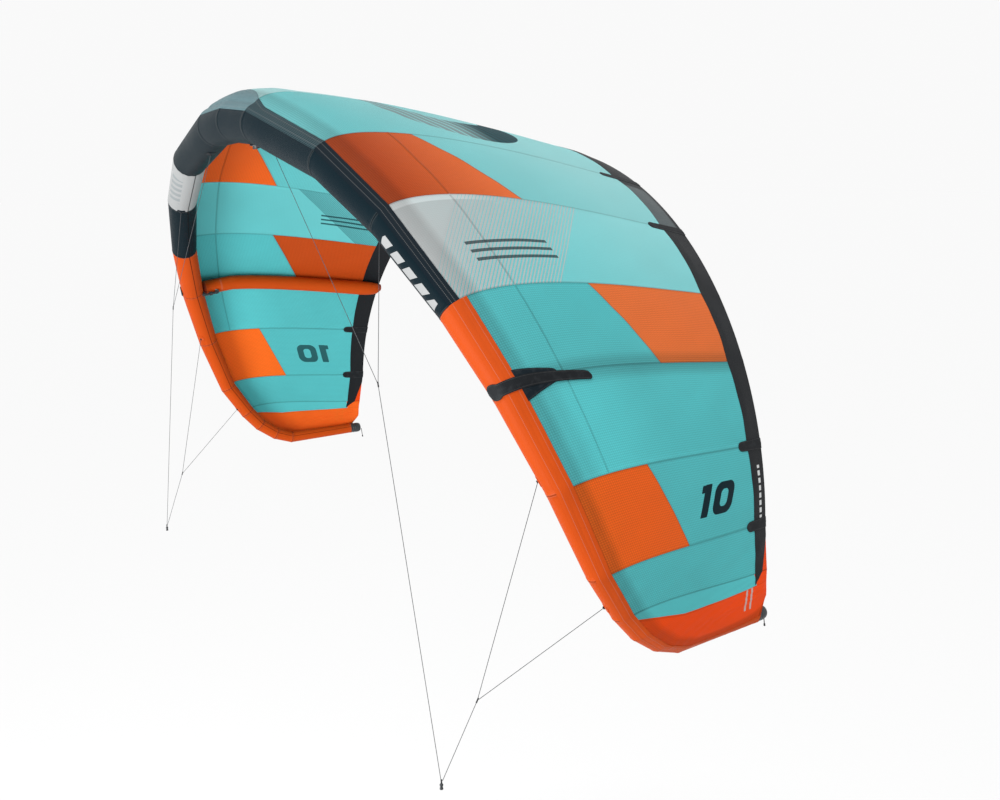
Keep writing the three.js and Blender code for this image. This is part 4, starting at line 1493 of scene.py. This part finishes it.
def strut(side, sign, seam):
    section = cut(seam)
    line = strut_line(section)
    reach = arc_lengths(line)
    length = reach[-1]
    turns = np.arange(STRUT_COLUMNS) * 2 * pi / STRUT_COLUMNS
    outer, inner, wing, cloth = [], [], [], []
    for i, centre in enumerate(line):
        along = unit(line[min(i + 1, len(line) - 1)] - line[max(i - 1, 0)])
        across = unit(section.along - along * float(section.along @ along))
        upward = np.cross(across, along)
        upward = upward if float(upward @ section.out) > 0 else -upward
        from_tail = length - reach[i]
        narrowed = min(1.0, 0.52 + 0.48 * (1 - (1 - min(from_tail / 0.13, 1)) ** 2) ** 0.5)
        radius = STRUT_SKIN * narrowed
        centre = centre + upward * (STRUT_SKIN - radius) * 0.55
        pucker = 0.0007 * np.cos(turns * 15) * np.exp(-reach[i] / 0.03)
        spokes = across * np.cos(turns)[:, None] + upward * np.sin(turns)[:, None]
        outer.append(centre + spokes * (radius + pucker)[:, None])
        inner.append(centre + spokes * (radius - STRUT_WALL))
        marks = np.degrees(np.arange(STRUT_COLUMNS + 1) * 2 * pi / STRUT_COLUMNS)
        wing.append([(0, mark + 295, 0) for mark in marks])
        nearest = min(reach[i], abs(reach[i] - 0.10), from_tail + 0.004)
        cloth.append([(radians(mark) * STRUT_SKIN, reach[i], nearest) for mark in marks])
    flip = np.array([sign, 1, 1])
    suffix = f"_{side}" if seam else "_centre"
    piece = mirrored_shell(f"strut{suffix}", (outer, inner, wing, cloth), sign, STRUT_CLOTH, wraps=True)
    placed(piece, "wing", f"strut_sleeve{suffix}")
    strut_ends(suffix, line, flip)
    strut_web(suffix, section, line, flip)


def strut_ends(suffix, line, flip):
    """Rounded plugs of doubled cloth close the front and the tail."""
    ends = (("front", line[0], line[1], STRUT_SKIN), ("tail", line[-1], line[-2], STRUT_SKIN * STRUT_TAIL))
    for which, at, before, radius in ends:
        facing = unit(at - before)
        up = 0.0 if which == "front" else (STRUT_SKIN - radius) * 0.55
        rise = unit(np.cross(np.cross(facing, cut(0).out), facing)) * up
        bulge = radius * 0.42
        outline = [(0, -0.006), (radius * 0.97, -0.006), (radius * 0.99, 0.002)]
        outline += [(radius * cos(a), 0.002 + bulge * sin(a)) for a in np.linspace(0.25, 1.35, 7)]
        outline += [(0, 0.002 + bulge)]
        plug = turned(f"strut_{which}_end{suffix}", (at + rise) * flip, facing * flip, outline, END_CLOTH)
        placed(plug, "wing")


def strut_web(suffix, section, line, flip):
    """A strip of cloth joins the strut's top to the canopy where the canopy rises away from it."""
    places = np.linspace(0.035, STRUT_LAID_FROM + 0.02, 30)
    points, outward = section.profile(places)
    tops = points - outward * 0.001
    feet = []
    for top in tops:
        gaps = np.linalg.norm(line - top, axis=1)
        nearest = line[int(np.argmin(gaps))]
        feet.append(nearest + unit(top - nearest) * min(STRUT_SKIN - 0.004, float(gaps.min()) - 0.002))
    outer, wing, cloth = [], [], []
    reach = arc_lengths(tops)
    for u in np.linspace(0, 1, 6):
        outer.append(tops + (np.array(feet) - tops) * u)
        high = np.linalg.norm(np.array(feet) - tops, axis=1)
        wing.append([(0, 0, 0)] * len(places))
        cloth.append([(r, u * h, min(u, 1 - u) * h) for r, h in zip(reach, high)])
    skin = np.array(outer)
    half = section.along * 0.0006
    faces = ((skin + half) * flip, (skin - half) * flip)
    web = shell(f"strut_web{suffix}", *faces, np.array(wing), np.array(cloth), WEB_CLOTH)
    placed(web, "wing")


STRUT_CLOTH = sleeve_cloth("strut_sleeve", SLEEVE_ORANGE)
END_CLOTH = webbing("strut_end_cloth", (0.30, 0.035, 0.008), ribs=0.003)
WEB_CLOTH = canopy_material("strut_web_cloth", diffuser=False)
strut("", 1, 0)
for side, sign in SIDES:
    strut(side, sign, STRUT_SEAM)

# ---- hoses, valve and end caps ------------------------------------------------------------------

HOSE_RADIUS = 0.007
HOSE_ANGLE = pi / 8
HOSE_REACH = 0.084
VALVE_SEAM = 0.55
VALVE_TURN = radians(-67.5)
CAP_GROOVES = ((0.10, 0.12, 0.18, 0.20), (0.30, 0.32, 0.38, 0.40))  # shares of the cap's length
CAP_GROOVE_DEPTH = 0.0012
CAP_NOSE = ((0.99, 0.66), (0.93, 0.82), (0.78, 0.93), (0.45, 0.99), (0, 1))  # shares of radius and length
ANCHOR_PATCH = 0.046  # length along the tube's skin
ANCHOR_PATCH_HALF = 0.020
ANCHOR_PATCH_CORNER = 0.008


def strut_underside(section, aft):
    """How far out the strut's underside lies, this far aft of the tube's middle."""
    front = np.array([section.radius + STRUT_STAND_OFF, section.radius * STRUT_FRONT_OUT])
    point, outward = section.profile([STRUT_LAID_FROM])
    spoke = point[0] - outward[0] * STRUT_SUNK - section.centre
    next_ring = np.array([spoke @ section.aft, spoke @ section.out])
    share = (aft - front[0]) / (next_ring[0] - front[0])
    return front[1] + (next_ring[1] - front[1]) * share - STRUT_RADIUS


def air_hose(side, sign, seam):
    section = cut(float(seam))
    r = section.radius
    under = strut_underside(section, r + HOSE_REACH)
    lower = section.aft * cos(HOSE_ANGLE) - section.out * sin(HOSE_ANGLE)
    route = [
        section.centre + lower * (r + 0.004),
        section.centre + lower * (r + 0.022),
        section.at(r + 0.048, under - 0.024),
        section.at(r + 0.076, under - 0.018),
        section.at(r + HOSE_REACH, under - 0.005),
    ]
    flip = np.array([sign, 1, 1])
    points = [point * flip for point in smooth_route(route, 48)]
    suffix = f"_{side}" if seam else "_centre"
    hose = curve_piece(f"hose{suffix}", points, HOSE_RADIUS, HOSE_RUBBER)
    placed(hose, "wing", f"air_hose{suffix}")
    hose_fittings(suffix, points)


def hose_fittings(suffix, points):
    """A flanged elbow at each end and a pinch clip in the middle."""
    ends = (("tube", points[0], points[3]), ("strut", points[-1], points[-4]))
    for which, at, inward in ends:
        along = unit(inward - at)
        outline = [(0, -0.003), (0.017, -0.003), (0.017, 0.0005), (0.0105, 0.003)]
        outline += [(0.0095, 0.016), (0.0072, 0.018), (0, 0.018)]
        base = turned(f"hose_{which}_fitting{suffix}", at, along, rounded_outline(outline, 0.001, 3), PLASTIC)
        placed(base, "wing")
    middle = len(points) // 2
    along = unit(points[middle + 1] - points[middle - 1])
    outline = [(0.0071, -0.009), (0.0115, -0.009), (0.0125, -0.004), (0.0105, 0.0)]
    outline += [(0.0125, 0.004), (0.0115, 0.009), (0.0071, 0.009), (0.0071, -0.009)]
    clip = turned(f"hose_clip{suffix}", points[middle], along, outline, PLASTIC, 40)
    placed(clip, "wing")


def valve():
    """The inflation valve: a flanged neck welded to the tube, and a hinged lid that plugs it."""
    section = cut(VALVE_SEAM)
    facing = section.square * cos(VALVE_TURN) + section.out * sin(VALVE_TURN)
    at = section.centre + facing * (section.radius + 0.0005)
    neck = [(0.016, 0), (0.032, 0), (0.032, 0.003), (0.022, 0.003)]
    neck += [(0.022, 0.016), (0.016, 0.016), (0.016, 0)]
    body = turned("valve_neck", at, facing, neck, PLASTIC, 64)
    placed(body, "wing", "inflation_valve")
    lid = [(0, 0.0095), (0.0148, 0.0095), (0.0148, 0.0166), (0.0238, 0.0166), (0.024, 0.0185)]
    lid += [(0.0228, 0.0213), (0.017, 0.0215), (0.016, 0.0205), (0, 0.0205)]
    cap = turned("valve_lid", at, facing, lid, PLASTIC, 64)
    placed(cap, "valve_cap", "inflation_valve_cap")


def end_cap(side, sign):
    """The moulded end of the tube: a ribbed skirt and a domed nose."""
    flip = np.array([sign, 1, 1])
    start = axis_point(CAP_SEAM)
    facing = direction(CAP_SEAM)
    length = float(np.linalg.norm(axis_point(TIP_SEAM) - start))
    r = tube_radius(CAP_SEAM) + 0.0006
    outline = [(0, -0.010), (r, -0.010)]
    for lip, floor, floor_end, lip_end in CAP_GROOVES:
        outline += [(r, length * lip), (r - CAP_GROOVE_DEPTH, length * floor)]
        outline += [(r - CAP_GROOVE_DEPTH, length * floor_end), (r, length * lip_end)]
    outline += [(r * wide, length * high) for wide, high in CAP_NOSE]
    shape = rounded_outline(outline, 0.0015, 3)
    piece = turned(f"tip_cap_{side}", start * flip, facing * flip, shape, PLASTIC, 64)
    placed(piece, "wing", f"end_cap_{side}")


def anchor_patch(name, sign, seam, at, away):
    """Where a bridle leg ties on: a folded webbing loop sewn to a small patch on the tube."""
    flip = np.array([sign, 1, 1])
    along = direction(seam) * flip
    across = unit(np.cross(away, along))
    base = at - away * 0.0022
    outer, inner, wing, cloth = [], [], [], []
    turns = np.linspace(-0.15, pi + 0.15, 22)
    for share in np.linspace(-1, 1, 5):
        row, core = [], []
        for turn in turns:
            spoke = across * cos(turn) * 0.0042 + away * sin(turn) * 0.0068
            row.append(base + along * share * 0.0045 + spoke * 1.18)
            core.append(base + along * share * 0.0045 + spoke)
        outer.append(row)
        inner.append(core)
        wing.append([(0, 0, 0)] * len(turns))
        cloth.append([(share * 0.0045, u * 0.012, 0.0045 * (1 - abs(share))) for u in turns])
    loop = mirrored_shell(f"anchor_loop_{name}", (outer, inner, wing, cloth), 1, LOOP_CLOTH)
    placed(loop, "wing")
    section = cut(seam)
    towards = away * flip
    turn = atan2(-float(towards @ section.square), float(towards @ section.out))

    def path(number, u):
        point, outwards = over_tube(number, turn + (u - 0.5) * ANCHOR_PATCH / tube_radius(number))
        return point, outwards, u * ANCHOR_PATCH

    def half_width(u):
        ends = [rounded_end(share * ANCHOR_PATCH, ANCHOR_PATCH_CORNER) for share in (u, 1 - u)]
        return ANCHOR_PATCH_HALF * ends[0] * ends[1]

    navy = seam < 4
    patch = flat_patch(f"anchor_patch_{name}", seam, 24, path, half_width, sign,
                       DARK_TAPE if navy else ORANGE_TAPE, 0.0016, 0.0016)


HOSE_RUBBER = moulded_plastic("hose_rubber", (0.022, 0.024, 0.026))
LOOP_CLOTH = webbing("anchor_webbing", (0.016, 0.020, 0.024), ribs=0.0016)
air_hose("", 1, 0)
valve()
for side, sign in SIDES:
    air_hose(side, sign, STRUT_SEAM)
    end_cap(side, sign)
for name, seam, at, away in ANCHORS:
    anchor_patch(name, 1 if name.endswith("right") else -1, seam, at, away)

FILM = bladder_film()
for node in ("le_bladder", "strut_bladder_centre", "strut_bladder_right", "strut_bladder_left"):
    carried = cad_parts[node]
    carried.data.materials.clear()
    carried.data.materials.append(FILM)

# ---- floor and light ----------------------------------------------------------------------------

FLOOR_Z = -7
SKY = 0.95  # the brightness all around
SUN = 1.5
SUN_HEIGHT = radians(62)
FLOOR_PAINT = SKY / (SKY + SUN * sin(SUN_HEIGHT) / pi)  # lit floor and sky look equally bright


def soft_sun(name, azimuth, height, strength, angle):
    data = bpy.data.lights.new(name, "SUN")
    data.energy = strength
    data.angle = angle
    lamp = bpy.data.objects.new(name, data)
    bpy.context.scene.collection.objects.link(lamp)
    level = cos(height)
    towards = Vector((-sin(azimuth) * level, cos(azimuth) * level, -sin(height)))
    lamp.location = towards * -10
    lamp.rotation_mode = "QUATERNION"
    lamp.rotation_quaternion = towards.to_track_quat("-Z", "Y")


def soft_lamp(name, at, aim, size, watts):
    data = bpy.data.lights.new(name, "AREA")
    data.shape = "DISK"
    data.size = size
    data.energy = watts
    lamp = bpy.data.objects.new(name, data)
    bpy.context.scene.collection.objects.link(lamp)
    lamp.location = at
    lamp.rotation_mode = "QUATERNION"
    lamp.rotation_quaternion = (Vector(aim) - Vector(at)).to_track_quat("-Z", "Y")


def studio():
    mesh = bpy.data.meshes.new("floor")
    half = 200
    corners = [(-half, -half, FLOOR_Z), (half, -half, FLOOR_Z), (half, half, FLOOR_Z), (-half, half, FLOOR_Z)]
    mesh.from_pydata(corners, [], [(0, 1, 2, 3)])
    pale = Finish("floor_paint", roughness=0.9, specular=0.0)
    floor = new_object("floor", mesh, pale.finished((FLOOR_PAINT, FLOOR_PAINT, FLOOR_PAINT)))
    world = bpy.context.scene.world or bpy.data.worlds.new("world")
    bpy.context.scene.world = world
    world.use_nodes = True
    sky = world.node_tree.nodes["Background"]
    sky.inputs["Color"].default_value = (1, 1, 1, 1)
    sky.inputs["Strength"].default_value = SKY
    soft_sun("key", radians(20), SUN_HEIGHT, SUN, radians(30))
    soft_lamp("inside_fill", (1.6, -5.5, -2.2), (-1.9, 0.7, -0.9), 3.0, 480)
    bpy.context.scene.view_settings.view_transform = "Standard"


studio()
